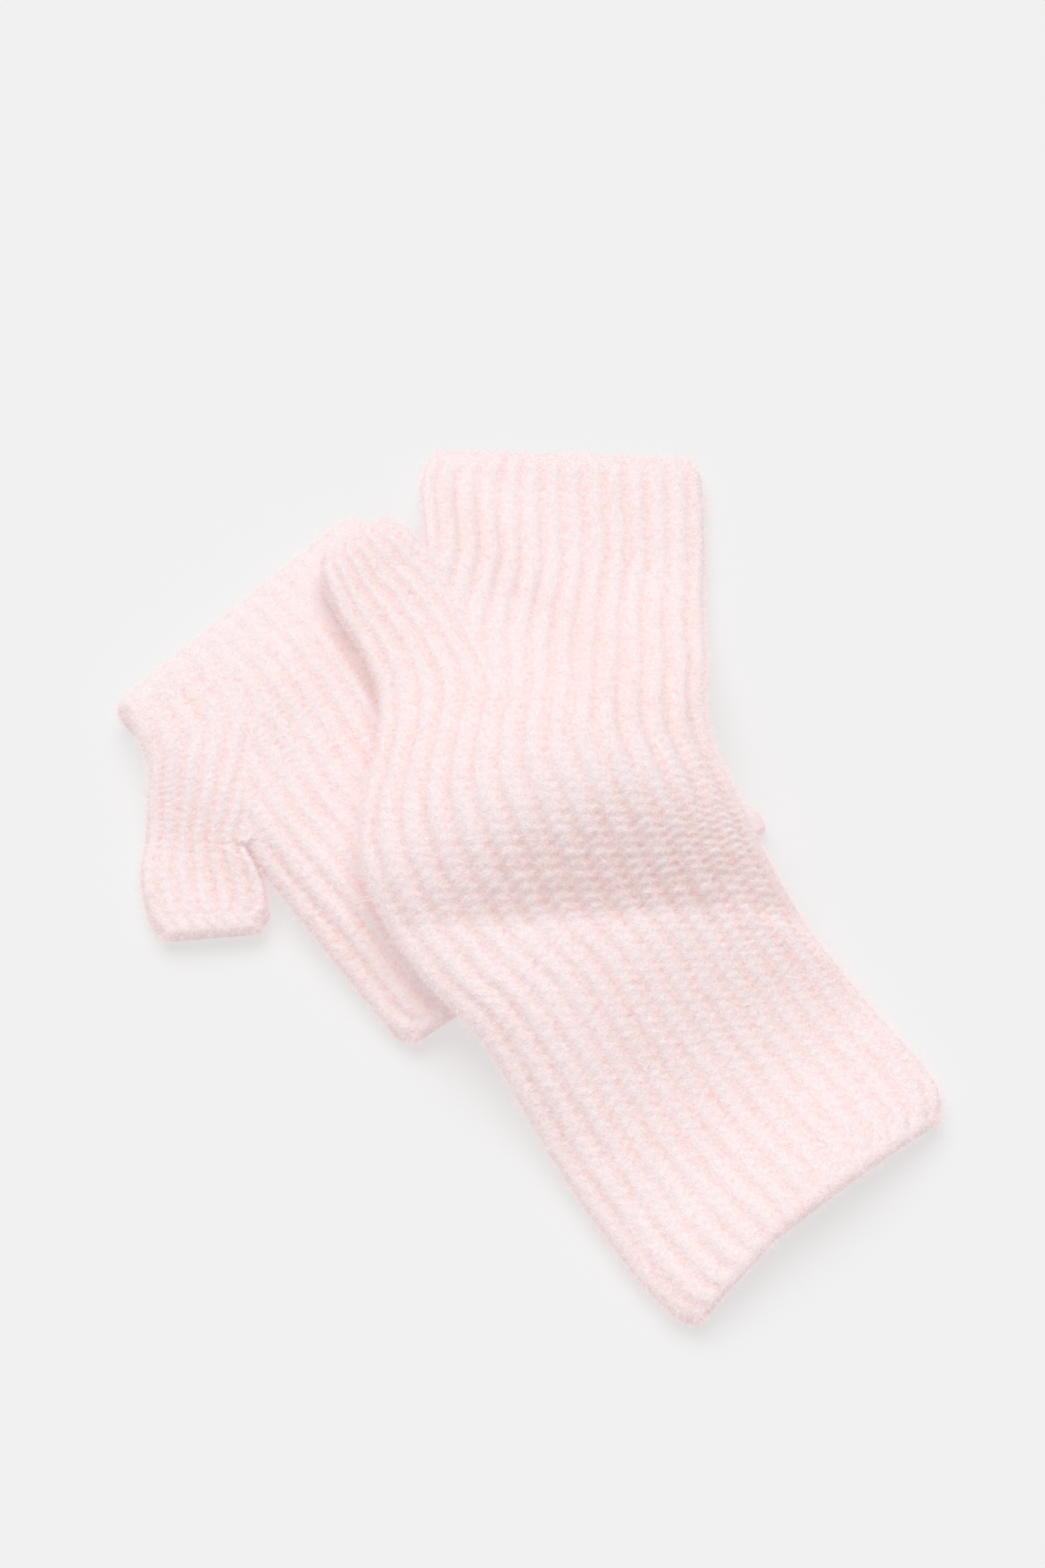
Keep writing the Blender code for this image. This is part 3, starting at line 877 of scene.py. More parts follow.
@dataclass
class MeshParts:
    """Gathers the grids of one piece, and makes its mesh."""

    name: str
    grids: list[Grid] = field(default_factory=list)
    faces: list[Array] = field(default_factory=list)
    count: int = 0

    def add_points(self, grid: Grid) -> Array:
        """Adds a grid's points.

        Args:
            grid: the grid.

        Returns:
            The points' numbers, rows by columns.
        """
        numbers = self.count + np.arange(grid.across.size).reshape(grid.across.shape)
        self.grids.append(grid)
        self.count += grid.across.size
        return numbers

    def add_quads(self, near: Array, far: Array, closed: bool) -> None:
        """Joins two rows of numbers with faces, round to the start again where they are closed.

        Args:
            near, far: the numbers of the two rows.
            closed: whether they are closed rings.
        """
        quads = np.stack([near, np.roll(near, -1), np.roll(far, -1), far], axis=1)
        self.faces.append(quads if closed else quads[:-1])

    def add_grid(self, grid: Grid, split: int) -> Array:
        """Adds a grid's points and faces.

        Args:
            grid: the grid.
            split: the first row that is a closed ring.

        Returns:
            The points' numbers.
        """
        numbers = self.add_points(grid)
        for row in range(len(numbers) - 1):
            width = numbers.shape[1] if row >= split else grid.chain
            self.add_quads(numbers[row, :width], numbers[row + 1, :width], row >= split)
        return numbers

    def add_rim(
        self,
        outside: tuple[Grid, Array],
        inside: tuple[Grid, Array],
        end: int,
        rim: Rim,
        closed: bool,
    ) -> None:
        """Joins the outside's end to the inside's.

        Args:
            outside: the outside's grid and numbers.
            inside: the inside's grid and numbers.
            end: 0 for the first row, or -1 for the last.
            rim: rounded where it is bound off, flat where another tube is picked up.
            closed: whether the row is a closed ring.
        """
        width = outside[1].shape[1] if closed else outside[0].chain
        start, stop = outside[0].points[end, :width], inside[0].points[end, :width]
        before = outside[1][end, :width]
        if rim is Rim.BOUND_OFF:
            next_row = 1 if end == 0 else -2
            away = start - outside[0].points[next_row, :width]
            away = away.mean(axis=0) if closed else away[-1]
            away[2] = 0.0
            away /= np.linalg.norm(away)
            height = start[:, 2] - outside[0].points[end, 0, 2]
            reach = (WALL / 2 + RIM_OVERHANG * np.clip(height / TUBE, 0, 1))[:, None]
            edge = outside[0].cut(slice(end, end + 1 or None), width)
            for turn in np.radians(RIM_TURNS):
                ring = start + (stop - start) * (1 - math.cos(turn)) / 2 + away * reach * math.sin(turn)
                ring[..., 2] = np.maximum(ring[..., 2], 0.0)
                numbers = self.add_points(replace(edge, points=ring[None], nap=edge.nap * RIM_NAP))[0]
                self.add_quads(before, numbers, closed)
                before = numbers
        self.add_quads(before, inside[1][end, :width], closed)

    def build(self) -> bpy.types.Object:
        """Makes the welded, closed mesh, with its attributes and its knit map.

        Returns:
            The piece.
        """
        points = np.vstack([grid.points.reshape(-1, 3) for grid in self.grids])
        points[:, :2] += PLACE
        mesh = bpy.data.meshes.new(self.name)
        mesh.from_pydata((points * MM).tolist(), [], np.vstack(self.faces).tolist())
        for name in ("loft", "nap"):
            values = np.concatenate([getattr(grid, name).reshape(-1) for grid in self.grids])
            layer = mesh.attributes.new(name, "FLOAT", "POINT")
            layer.data.foreach_set("value", values.astype(np.float32))
        corners = np.zeros(len(mesh.loops), np.int32)
        mesh.loops.foreach_get("vertex_index", corners)
        knit_map = mesh.uv_layers.new(name="knit")
        knit = np.vstack([grid.knit for grid in self.grids])[corners] / KNIT_MAP_MM
        knit_map.data.foreach_set("uv", knit.astype(np.float32).reshape(-1))
        used = bmesh.new()
        used.from_mesh(mesh)
        bmesh.ops.remove_doubles(used, verts=used.verts, dist=WELD * MM)
        loose = [vertex for vertex in used.verts if not vertex.link_faces]
        bmesh.ops.delete(used, geom=loose, context="VERTS")
        bmesh.ops.recalc_face_normals(used, faces=used.faces)
        open_edges = sum(1 for edge in used.edges if not edge.is_manifold)
        if open_edges:
            log.warning("%s has %d open edges", self.name, open_edges)
        used.to_mesh(mesh)
        used.free()
        mesh.shade_smooth()
        mesh.set_sharp_from_angle(angle=math.radians(SHARP_FROM))
        return add_object(self.name, mesh)


def rib_widths(sleeve: Array, leg: Array, gusset: int, grown: Array) -> Array:
    """Width of a rib in each row, which changes along the gusset from the sleeve's to the leg's.

    Args:
        sleeve: the width by the number of the sleeve's ribs, for the trunk's rows.
        leg: the width by the number of the leg's ribs, for all rows.
        gusset: the number of the gusset's first row.
        grown: how far along the gusset each of the trunk's rows lies, from 0 to 1.

    Returns:
        One width for each row, with no sudden change.
    """
    count = len(sleeve)
    widths = np.concatenate([sleeve, leg[count:]])
    widths[gusset:count] = sleeve[gusset] + (leg[count - 1] - sleeve[gusset]) * grown[gusset:]
    window = 2 * PITCH_BLEND + 1
    smooth = np.convolve(np.pad(widths, PITCH_BLEND, mode="edge"), np.ones(window) / window, "valid")
    return widths + (smooth - widths) * ease((np.arange(len(widths)) - gusset) / (2 * PITCH_BLEND))


@dataclass(frozen=True)
class MittenPlan:
    """The tables of one mitten, what it lies on and what shows of it. Only the folded one has a sleeve."""

    name: str
    trunk: tuple
    gusset_start: int
    hand: tuple
    thumb: tuple
    ground: Ground
    shown: Shown
    sleeve: tuple = ()


# Distances between rows, and how many rows there are round the fold and on the inside
ROW_STEP = 0.78
HIDDEN_STEP = 5.0
CORNER_STEP = 1.2
CORNER_SHARE = 0.25
CORNER_GAP = 1.0
FOLD_TURNS = 30
LINING_EVERY = 11
LINING_EVERY_ROLLED = 3


def inside_split(rows: Rows) -> int:
    """Number of the row from which the inside is two tubes: a wall's thickness before the fork."""
    return int(np.searchsorted(rows.past, -WALL)) - 1


class Mitten:
    """One mitten: works out the rows of its tubes, and builds its body and its thumb."""

    def __init__(self, plan: MittenPlan):
        """Keeps the plan and works out the rows of both sides of the fork."""
        self.plan = plan
        self.hand_strip, self.thumb_strip, self.trunk_count = self.strips()

    def trunk_rows(self) -> tuple[Array, Array, int]:
        """The trunk's rows, their turn round the fold, and the number of the gusset's first row.

        Returns:
            The rows, one turn for each in degrees, and the number.
        """
        plan = self.plan
        rows = through_rows(plan.trunk, ROW_STEP)
        rows = rows if plan.sleeve else rows[RIM_ROWS:]
        start = int(np.argmin(np.abs(rows - np.array(plan.trunk[plan.gusset_start])).sum(axis=1)))
        turn = np.full(len(rows), np.nan)
        if plan.sleeve:
            # Only a corner at the sleeve's cuff shows, so only the first rows are close together
            wide = through_rows(plan.sleeve, HIDDEN_STEP)
            close = through_rows(plan.sleeve, HIDDEN_STEP, CORNER_STEP)
            close = close[1 : int(len(close) * CORNER_SHARE)]
            from_cuff = np.linalg.norm(wide[:, :2] - wide[0, :2], axis=1)
            covered = np.linalg.norm(close[-1, :2] - close[0, :2]) + CORNER_GAP
            flat = np.vstack([close, wide[from_cuff > covered][:-1]])
            roll = np.repeat(wide[-1:], FOLD_TURNS, axis=0)
            rows = np.vstack([flat, roll, rows])
            turns = 180.0 * np.arange(FOLD_TURNS) / FOLD_TURNS
            turn = np.concatenate([np.zeros(len(flat)), turns, turn])
            start += len(flat) + FOLD_TURNS
        return rows, turn, start

    def strips(self) -> tuple[Strip, Strip, int]:
        """The hand's strip and the thumb's, and how many rows the trunk has.

        Returns:
            The two strips, and the number of rows.
        """
        plan = self.plan
        trunk, turn, gusset = self.trunk_rows()
        hand, thumb = (through_rows(leg, ROW_STEP)[1:-RIM_ROWS] for leg in (plan.hand, plan.thumb))
        edge, fork, far = trunk[:, THUMB_EDGE], trunk[:, FORK_POINT], trunk[:, FAR_EDGE]
        before = np.linalg.norm(np.diff(fork, axis=0), axis=1)
        past = np.concatenate([-np.cumsum(before[::-1])[::-1], [0.0]])
        full = np.linalg.norm(far - fork, axis=1) + np.linalg.norm(fork - edge, axis=1)
        gusset_length = -past[gusset]

        def joined(outer: Array, leg: Array, leg_outer: slice, leg_inner: slice, ribs: tuple) -> Rows:
            """The rows of one side, from the cuff to the end of its leg.

            Args:
                outer: the trunk's outer edge on this side.
                leg: the leg's rows.
                leg_outer, leg_inner: the columns of its outer and inner edges.
                ribs: how many ribs this side has in the sleeve and past the fork.

            Returns:
                The rows.
            """
            middles = (leg[:, LEG_NEAR] + leg[:, LEG_FAR]) / 2
            first = (outer[-1] + fork[-1]) / 2
            on = np.cumsum(np.linalg.norm(np.diff(np.vstack([first, middles]), axis=0), axis=1))
            all_outer = np.vstack([outer, leg[:, leg_outer]])
            all_inner = np.vstack([fork, leg[:, leg_inner]])
            all_past = np.concatenate([past, on])
            span = all_inner - all_outer
            inward = span / np.linalg.norm(span, axis=1)[:, None]
            at_end = (corner_inset(on[-1] - all_past) * (all_past > 0))[:, None]
            all_outer = all_outer + inward * (corner_inset(all_past - all_past[0])[:, None] + at_end)
            all_inner = all_inner - inward * at_end
            length = np.linalg.norm(all_inner - all_outer, axis=1)
            count = len(outer)
            share = length[:count] / (full - 2 * corner_inset(past - past[0]))
            ratio = np.concatenate([share, share[-1] + (1 - share[-1]) * ease(on / PARTING)])
            sleeve_pitch = (length[:count] - EDGE_ROUND) / ribs[0]
            leg_pitch = (length - 2 * EDGE_ROUND) / ribs[1]
            grown = np.clip((past + gusset_length) / gusset_length, 0.0, 1.0)
            arch, puff = (np.maximum(np.concatenate([trunk[:, k], leg[:, k]]), 0.0) for k in (-2, -1))
            return Rows(
                outer=all_outer,
                inner=all_inner,
                arch=arch,
                puff=puff,
                ratio=ratio,
                past=all_past,
                pitch=rib_widths(sleeve_pitch, leg_pitch, gusset, grown),
                turn=np.concatenate([turn, np.full(len(leg), np.nan)]),
            )

        hand_ribs = (SLEEVE_RIBS - FORK_RIB, HAND_RIBS)
        hand_rows = joined(far, hand, LEG_FAR, LEG_NEAR, hand_ribs)
        thumb_rows = joined(edge, thumb, LEG_NEAR, LEG_FAR, (FORK_RIB, THUMB_RIBS))
        return (
            Strip(hand_rows, HAND_COLUMNS, plan.ground, gusset_length, True),
            Strip(thumb_rows, THUMB_COLUMNS, plan.ground, gusset_length, False),
            len(trunk),
        )

    def inside_rows(self, rows: Rows, first: int, last: int) -> Array:
        """Numbers of the rows that the inside has, between two rows: few, but more at fork and fold.

        Args:
            rows: all rows of that side.
            first, last: the two rows.

        Returns:
            The numbers, in order.
        """
        # The inside parts over the first pair of these rows, and the outside at the second
        split = inside_split(rows)
        at_fork = (split, split + 2, self.trunk_count - 1, self.trunk_count + 4)
        rolled = [k for k in range(first, last + 1) if np.nan_to_num(rows.turn[k]) > 0]
        chosen = {first, last, *range(first, last, LINING_EVERY), *rolled[::LINING_EVERY_ROLLED]}
        chosen |= {k for k in at_fork if first <= k <= last}
        return np.array(sorted(chosen))

    def build(self) -> tuple[bpy.types.Object, bpy.types.Object]:
        """Makes the body and the thumb.

        Returns:
            The two pieces, without materials.
        """
        hand, thumb, fork = self.hand_strip, self.thumb_strip, self.trunk_count - 1
        hand_out = hand.outside(None, (0, -1), self.plan.shown)
        trunk_courses = hand_out.courses[: self.trunk_count]
        thumb_out = thumb.outside(trunk_courses, (0, -1), self.plan.shown)
        for column in (0, -1):
            shared = hand_out.points[: self.trunk_count, column % hand_out.chain]
            thumb_out.points[: self.trunk_count, column % thumb_out.chain] = shared
        seam = int(np.searchsorted(thumb.rows.past, SEAM_PAST_FORK))

        body = MeshParts(f"{self.plan.name}_body_knit")
        last = len(hand.rows.past) - 1
        self.add_side(body, hand, hand_out, (0, last), fork, (Rim.BOUND_OFF, Rim.BOUND_OFF))
        self.add_side(body, thumb, thumb_out, (0, seam), fork, (Rim.BOUND_OFF, Rim.PICKED_UP))
        tube = MeshParts(f"{self.plan.name}_thumb_knit")
        last = len(thumb.rows.past) - 1
        self.add_side(tube, thumb, thumb_out, (seam, last), fork, (Rim.PICKED_UP, Rim.BOUND_OFF))
        return body.build(), tube.build()

    def add_side(
        self,
        parts: MeshParts,
        strip: Strip,
        outside: Grid,
        ends: tuple[int, int],
        fork: int,
        rims: tuple[Rim, Rim],
    ) -> None:
        """Adds one side of the fork to a piece: outside, inside and rims.

        Args:
            parts: the piece.
            strip: the side.
            outside: the whole outside of that side.
            ends: the first and the last row that the piece has of it.
            fork: the number of the fork's row.
            rims: how its two ends are finished.
        """
        first, last = ends
        cut = outside.cut(slice(first, last + 1))
        picked = self.inside_rows(strip.rows, first, last)
        lining = strip.inside(picked)
        split = inside_split(strip.rows)
        outer = (cut, parts.add_grid(cut, max(0, fork - first)))
        inner = (lining, parts.add_grid(lining, int(np.searchsorted(picked, split)) if first < split else 0))
        parts.add_rim(outer, inner, 0, rims[0], first > fork)
        parts.add_rim(outer, inner, -1, rims[1], True)


def linear(hex_colour: str) -> tuple[float, float, float, float]:
    """Turns an sRGB hex colour into linear values.

    Args:
        hex_colour: such as #FFFFFF.

    Returns:
        Red, green, blue and an alpha of 1.
    """
    values = [int(hex_colour[i : i + 2], 16) / 255 for i in (1, 3, 5)]
    return tuple(v / 12.92 if v <= 0.04045 else ((v + 0.055) / 1.055) ** 2.4 for v in values) + (1.0,)


def add_node(
    tree: Tree, kind: str, settings: Optional[dict] = None, inputs: Optional[dict] = None
) -> bpy.types.Node:
    """Adds a node with its settings and inputs.

    Args:
        tree: the node tree.
        kind: the node's type.
        settings: properties to set.
        inputs: for each input, by name or number, its value or the socket that feeds it.

    Returns:
        The node.
    """
    node = tree.nodes.new(kind)
    for name, value in (settings or {}).items():
        setattr(node, name, value)
    for name, value in (inputs or {}).items():
        if isinstance(value, Socket):
            tree.links.new(value, node.inputs[name])
        else:
            node.inputs[name].default_value = value
    return node


class Grain(NamedTuple):
    """A noise: the size of its features in millimetres, and the texture's own inputs."""

    size: float
    detail: float
    roughness: float = 0.5
    distortion: float = 0.0


def noise(tree: Tree, grain: Grain) -> Socket:
    """Noise on Object coordinates, which are in metres.

    Args:
        tree: the node tree.
        grain: the kind of noise.

    Returns:
        The socket of its value.
    """
    return add_node(tree, "ShaderNodeTexNoise", None, {
        "Vector": add_node(tree, "ShaderNodeTexCoord").outputs["Object"],
        "Scale": 1 / (grain.size * MM),
        "Detail": grain.detail,
        "Roughness": grain.roughness,
        "Distortion": grain.distortion,
    }).outputs["Fac"]


def ranged(tree: Tree, value: Socket, start: tuple, end: tuple, **settings: object) -> Socket:
    """The value, with its range start mapped onto the range end.

    Args:
        tree: the node tree.
        value: the value's socket.
        start, end: the two ranges.
        settings: the node's properties.

    Returns:
        The socket of the result.
    """
    inputs = {"Value": value, "From Min": start[0], "From Max": start[1], "To Min": end[0], "To Max": end[1]}
    return add_node(tree, "ShaderNodeMapRange", settings, inputs).outputs["Result"]


def maths(tree: Tree, operation: str, first: Socket, second: "Socket | float") -> Socket:
    """One sum or product of two values or sockets."""
    return add_node(tree, "ShaderNodeMath", {"operation": operation}, {0: first, 1: second}).outputs[0]


def blended(tree: Tree, share: Socket, first: "Socket | tuple", second: tuple) -> Socket:
    """A colour between two colours or sockets: the first where share is 0."""
    return add_node(tree, "ShaderNodeMix", {"data_type": "RGBA"}, {0: share, 6: first, 7: second}).outputs[2]


def new_finish(name: str, inputs: dict) -> tuple[bpy.types.Material, bpy.types.Node]:
    """Makes a material and sets its shader's inputs.

    Args:
        name: the material's name.
        inputs: values of the shader's inputs, by name.

    Returns:
        The material and its shader.
    """
    material = bpy.data.materials.new(name)
    material.use_nodes = True
    shader = material.node_tree.nodes["Principled BSDF"]
    for socket, value in inputs.items():
        shader.inputs[socket].default_value = value
    return material, shader


# Nearly all of a noise lies between these values
NOISE_BULK = (0.3, 0.7)
FIBRE_SIDES = 3


@dataclass(frozen=True)
class BrushedYarn:
    """Brushed wool and mohair blend: matt, with a pale bloom of fibres on the ribs and pinker valleys."""

    rib: str = "#F8EFF1"
    valley: str = "#F7EAE9"
    fleck: str = "#F3D7D6"
    # Painted light: colour and strength of the glow that stands in for light through the yarn
    through: str = "#FFC4BC"
    through_strength: float = 0.09
    roughness: float = 0.95
    specular: float = 0.15
    sheen: float = 0.3
    sheen_roughness: float = 0.6
    sheen_tint: str = "#FFF3F1"
    wisps: Grain = Grain(2.4, 3.0, 0.65, 1.6)
    wisp_reach: float = 0.5
    strands: Grain = Grain(0.9, 2.0, 0.6, 0.6)
    strand_reach: float = 0.4
    strand_height_mm: float = 0.35
    clouds: Grain = Grain(20.0, 2.0)
    cloud_reach: float = 0.3
    pale_at: float = 0.85
    flecks: Grain = Grain(1.7, 3.0, 0.75)
    fleck_bulk: tuple = (0.46, 0.66)
    fleck_cover: float = 0.9
    fleck_on_ribs: float = 0.1

    def build(self) -> bpy.types.Material:
        """Makes the material.

        Returns:
            The material.
        """
        # Painted light: a faint pink emission glow stands in for the light that comes through loose yarn, and
        # warms its shadows
        material, shader = new_finish("brushed_wool_rib", {
            "Roughness": self.roughness,
            "Specular IOR Level": self.specular,
            "Sheen Weight": self.sheen,
            "Sheen Roughness": self.sheen_roughness,
            "Sheen Tint": linear(self.sheen_tint),
            "Emission Color": linear(self.through),
            "Emission Strength": self.through_strength,
        })
        tree = material.node_tree
        # Wisps are patches of lifted fibres, drawn out and bent by the distortion
        wisp, strand, cloud = (noise(tree, grain) for grain in (self.wisps, self.strands, self.clouds))
        pale = add_node(tree, "ShaderNodeAttribute", {"attribute_name": "loft"}).outputs["Fac"]
        reaches = (self.wisp_reach, self.strand_reach, self.cloud_reach)
        for pattern, reach in zip((wisp, strand, cloud), reaches):
            pale = maths(tree, "ADD", pale, ranged(tree, pattern, NOISE_BULK, (-reach, reach), clamp=False))
        pale = ranged(tree, pale, (0.0, self.pale_at), (0.0, 1.0), interpolation_type="SMOOTHSTEP")
        tone = blended(tree, pale, linear(self.valley), linear(self.rib))
        # Dyed and undyed fibres are blended, which leaves small pinker flecks, most of them in the valleys
        flecks = ranged(tree, noise(tree, self.flecks), self.fleck_bulk, (0.0, self.fleck_cover))
        flecks = maths(tree, "MULTIPLY", flecks, ranged(tree, pale, (0.0, 1.0), (1.0, self.fleck_on_ribs)))
        colour = blended(tree, flecks, tone, linear(self.fleck))
        fuzz = {
            "Strength": 1.0,
            "Distance": self.strand_height_mm * MM,
            "Height": maths(tree, "ADD", strand, wisp),
        }
        bump = add_node(tree, "ShaderNodeBump", None, fuzz)
        tree.links.new(colour, shader.inputs["Base Color"])
        tree.links.new(bump.outputs["Normal"], shader.inputs["Normal"])
        return material


@dataclass(frozen=True)
class NapFibre:
    """Single lifted fibres of the same blend: pale, fine and a little see-through against the light, which a
    faint painted glow stands in for.
    """

    root: str = "#F7EAE9"
    tip: str = "#F8F3F3"
    # Painted light: colour and strength of the glow that stands in for light through the thin fibres
    through: str = "#FFE0DA"
    through_strength: float = 0.14
    roughness: float = 0.9
    specular: float = 0.1
    sheen: float = 0.1
    patches: Grain = Grain(3.0, 2.0)

    def build(self) -> bpy.types.Material:
        """Makes the material.

        Returns:
            The material.
        """
        material, shader = new_finish("lifted_wool_fibre", {
            "Roughness": self.roughness,
            "Specular IOR Level": self.specular,
            "Sheen Weight": self.sheen,
            "Emission Color": linear(self.through),
            "Emission Strength": self.through_strength,
        })
        tree = material.node_tree
        patch = noise(tree, self.patches)
        tree.links.new(blended(tree, patch, linear(self.root), linear(self.tip)), shader.inputs["Base Color"])
        return material


@dataclass(frozen=True)
class Tabletop:
    """Opal white acrylic, lit from below: it softens every shadow."""

    colour: str = "#A8A8A8"
    glow: float = 0.495

    def build(self) -> bpy.types.Material:
        """Makes the material.

        Returns:
            The material.
        """
        material, _ = new_finish("opal_white_acrylic", {
            "Base Color": linear(self.colour),
            "Roughness": 1.0,
            "Specular IOR Level": 0.0,
            "Emission Color": linear("#FFFFFF"),
            "Emission Strength": self.glow,
        })
        return material


@dataclass(frozen=True)
class FibreShape:
    """One kind of fibre: a thin three-sided spike that bends."""

    length: float
    thickness: float
    bend: float
    segments: int
    taper: float = 0.45
    droop: float = 0.4

    def build(self, name: str, into: bpy.types.Collection) -> bpy.types.Object:
        """Makes the fibre, standing at the origin along Z, sizes in millimetres.

        Args:
            name: its name.
            into: the collection that it goes in.

        Returns:
            The fibre.
        """
        mesh = bmesh.new()
        rings = []
        turns = [2 * math.pi * i / FIBRE_SIDES for i in range(FIBRE_SIDES)]
        for k in range(self.segments):
            share = k / self.segments
            radius = self.thickness / 2 * (1 - self.taper * share)
            across = self.bend * self.length * share * share
            up = share * self.length
            ring = [(across + radius * math.cos(t), radius * math.sin(t), up) for t in turns]
            rings.append([mesh.verts.new(Vector(place) * MM) for place in ring])
        high = self.length * (1 - self.droop * self.bend)
        tip = mesh.verts.new(Vector((self.bend * self.length, 0, high)) * MM)
        mesh.faces.new(rings[0][::-1])
        pairs = [(i, (i + 1) % FIBRE_SIDES) for i in range(FIBRE_SIDES)]
        for near, far in zip(rings, rings[1:]):
            for i, j in pairs:
                mesh.faces.new([near[i], near[j], far[j], far[i]])
        for i, j in pairs:
            mesh.faces.new([rings[-1][i], rings[-1][j], tip])
        data = bpy.data.meshes.new(name)
        mesh.to_mesh(data)
        mesh.free()
        fibre = bpy.data.objects.new(name, data)
        into.objects.link(fibre)
        return fibre


# What is left of a fibre's depth where it would dip into the table, so that it lies on it
TABLE_SQUASH = 0.04


@dataclass(frozen=True)
class Nap:
    """The nap that brushing lifts: short bent fibres, and a few longer stray ones."""

    shapes: tuple = (
        FibreShape(1.8, 0.10, 0.5, 1),
        FibreShape(2.2, 0.09, 0.7, 1),
        FibreShape(1.4, 0.11, 0.3, 1),
        FibreShape(4.0, 0.075, 0.6, 2),
    )
    tilt: float = 1.05
    smallest: float = 0.55
    largest: float = 1.25
    seed: int = 7

    def tree(self, material: bpy.types.Material, fibres: bpy.types.Collection) -> Tree:
        """The tree that stands fibres on a surface where its nap attribute says so.

        Args:
            material: the fibres' finish.
            fibres: the collection of their shapes.

        Returns:
            The node tree.
        """
        tree = bpy.data.node_groups.new("lift_nap", "GeometryNodeTree")
        face = tree.interface
        face.new_socket("Geometry", in_out="INPUT", socket_type="NodeSocketGeometry")
        for name, kind, value in (
            ("Fibres per square metre", "NodeSocketFloat", 1 / MM**2),
            ("Tilt", "NodeSocketFloat", self.tilt),
            ("Seed", "NodeSocketInt", self.seed),
        ):
            face.new_socket(name, in_out="INPUT", socket_type=kind).default_value = value
        face.new_socket("Geometry", in_out="OUTPUT", socket_type="NodeSocketGeometry")
        given = add_node(tree, "NodeGroupInput").outputs
        seed = given["Seed"]
        nap = add_node(tree, "GeometryNodeInputNamedAttribute", {"data_type": "FLOAT"}, {"Name": "nap"})
        thick = maths(tree, "MULTIPLY", nap.outputs["Attribute"], given["Fibres per square metre"])
        spots = add_node(
            tree, "GeometryNodeDistributePointsOnFaces", {"distribute_method": "RANDOM"},
            {"Mesh": given["Geometry"], "Density": thick, "Seed": seed}
        ).outputs
        low = maths(tree, "MULTIPLY", given["Tilt"], -1.0)
        least, most = (
            add_node(tree, "ShaderNodeCombineXYZ", None, {"X": side, "Y": side, "Z": z}).outputs[0]
            for side, z in ((low, -math.pi), (given["Tilt"], math.pi))
        )
        lean = add_node(
            tree, "FunctionNodeRandomValue", {"data_type": "FLOAT_VECTOR"},
            {"Min": least, "Max": most, "Seed": seed}
        ).outputs[0]
        turned = add_node(
            tree, "FunctionNodeRotateRotation", {"rotation_space": "LOCAL"},
            {"Rotation": spots["Rotation"], "Rotate By": lean}
        ).outputs[0]
        size = add_node(
            tree, "FunctionNodeRandomValue", {"data_type": "FLOAT"},
            {2: self.smallest, 3: self.largest, "Seed": seed}
        ).outputs[1]
        kinds = add_node(
            tree, "GeometryNodeCollectionInfo", None,
            {"Collection": fibres, "Separate Children": True, "Reset Children": True}
        ).outputs["Instances"]
        stood = add_node(tree, "GeometryNodeInstanceOnPoints", None, {
            "Points": spots["Points"],
            "Instance": kinds,
            "Pick Instance": True,
            "Rotation": turned,
            "Scale": size,
        }).outputs["Instances"]
        real = add_node(tree, "GeometryNodeRealizeInstances", None, {"Geometry": stood}).outputs["Geometry"]
        dressed = add_node(tree, "GeometryNodeSetMaterial", None, {"Geometry": real, "Material": material})
        add_node(tree, "NodeGroupOutput", None, {"Geometry": dressed.outputs["Geometry"]})
        return tree

    def grow(
        self, source: bpy.types.Object, name: str, tree: Tree, density: float, seed: int
    ) -> bpy.types.Object:
        """Makes the nap of a piece, as a plain mesh of its own.

        Args:
            source: the knitted piece.
            name: the nap's name.
            tree: the tree that stands the fibres.
            density: fibres on a square millimetre of what shows.
            seed: makes each nap fall differently.

        Returns:
            The nap.
        """
        carrier = add_object(name + "_carrier", source.data)
        stand = carrier.modifiers.new("lift_nap", "NODES")
        stand.node_group = tree
        sockets = {item.name: item.identifier for item in tree.interface.items_tree if item.in_out == "INPUT"}
        stand[sockets["Fibres per square metre"]] = density / MM**2
        stand[sockets["Seed"]] = seed
        ready = carrier.evaluated_get(bpy.context.evaluated_depsgraph_get())
        mesh = bpy.data.meshes.new_from_object(ready)
        mesh.name = name
        bpy.data.objects.remove(carrier)
        places = np.zeros(3 * len(mesh.vertices), np.float32)
        mesh.vertices.foreach_get("co", places)
        below = places[2::3] < 0
        places[2::3][below] *= TABLE_SQUASH
        mesh.vertices.foreach_set("co", places)
        return add_object(name, mesh)


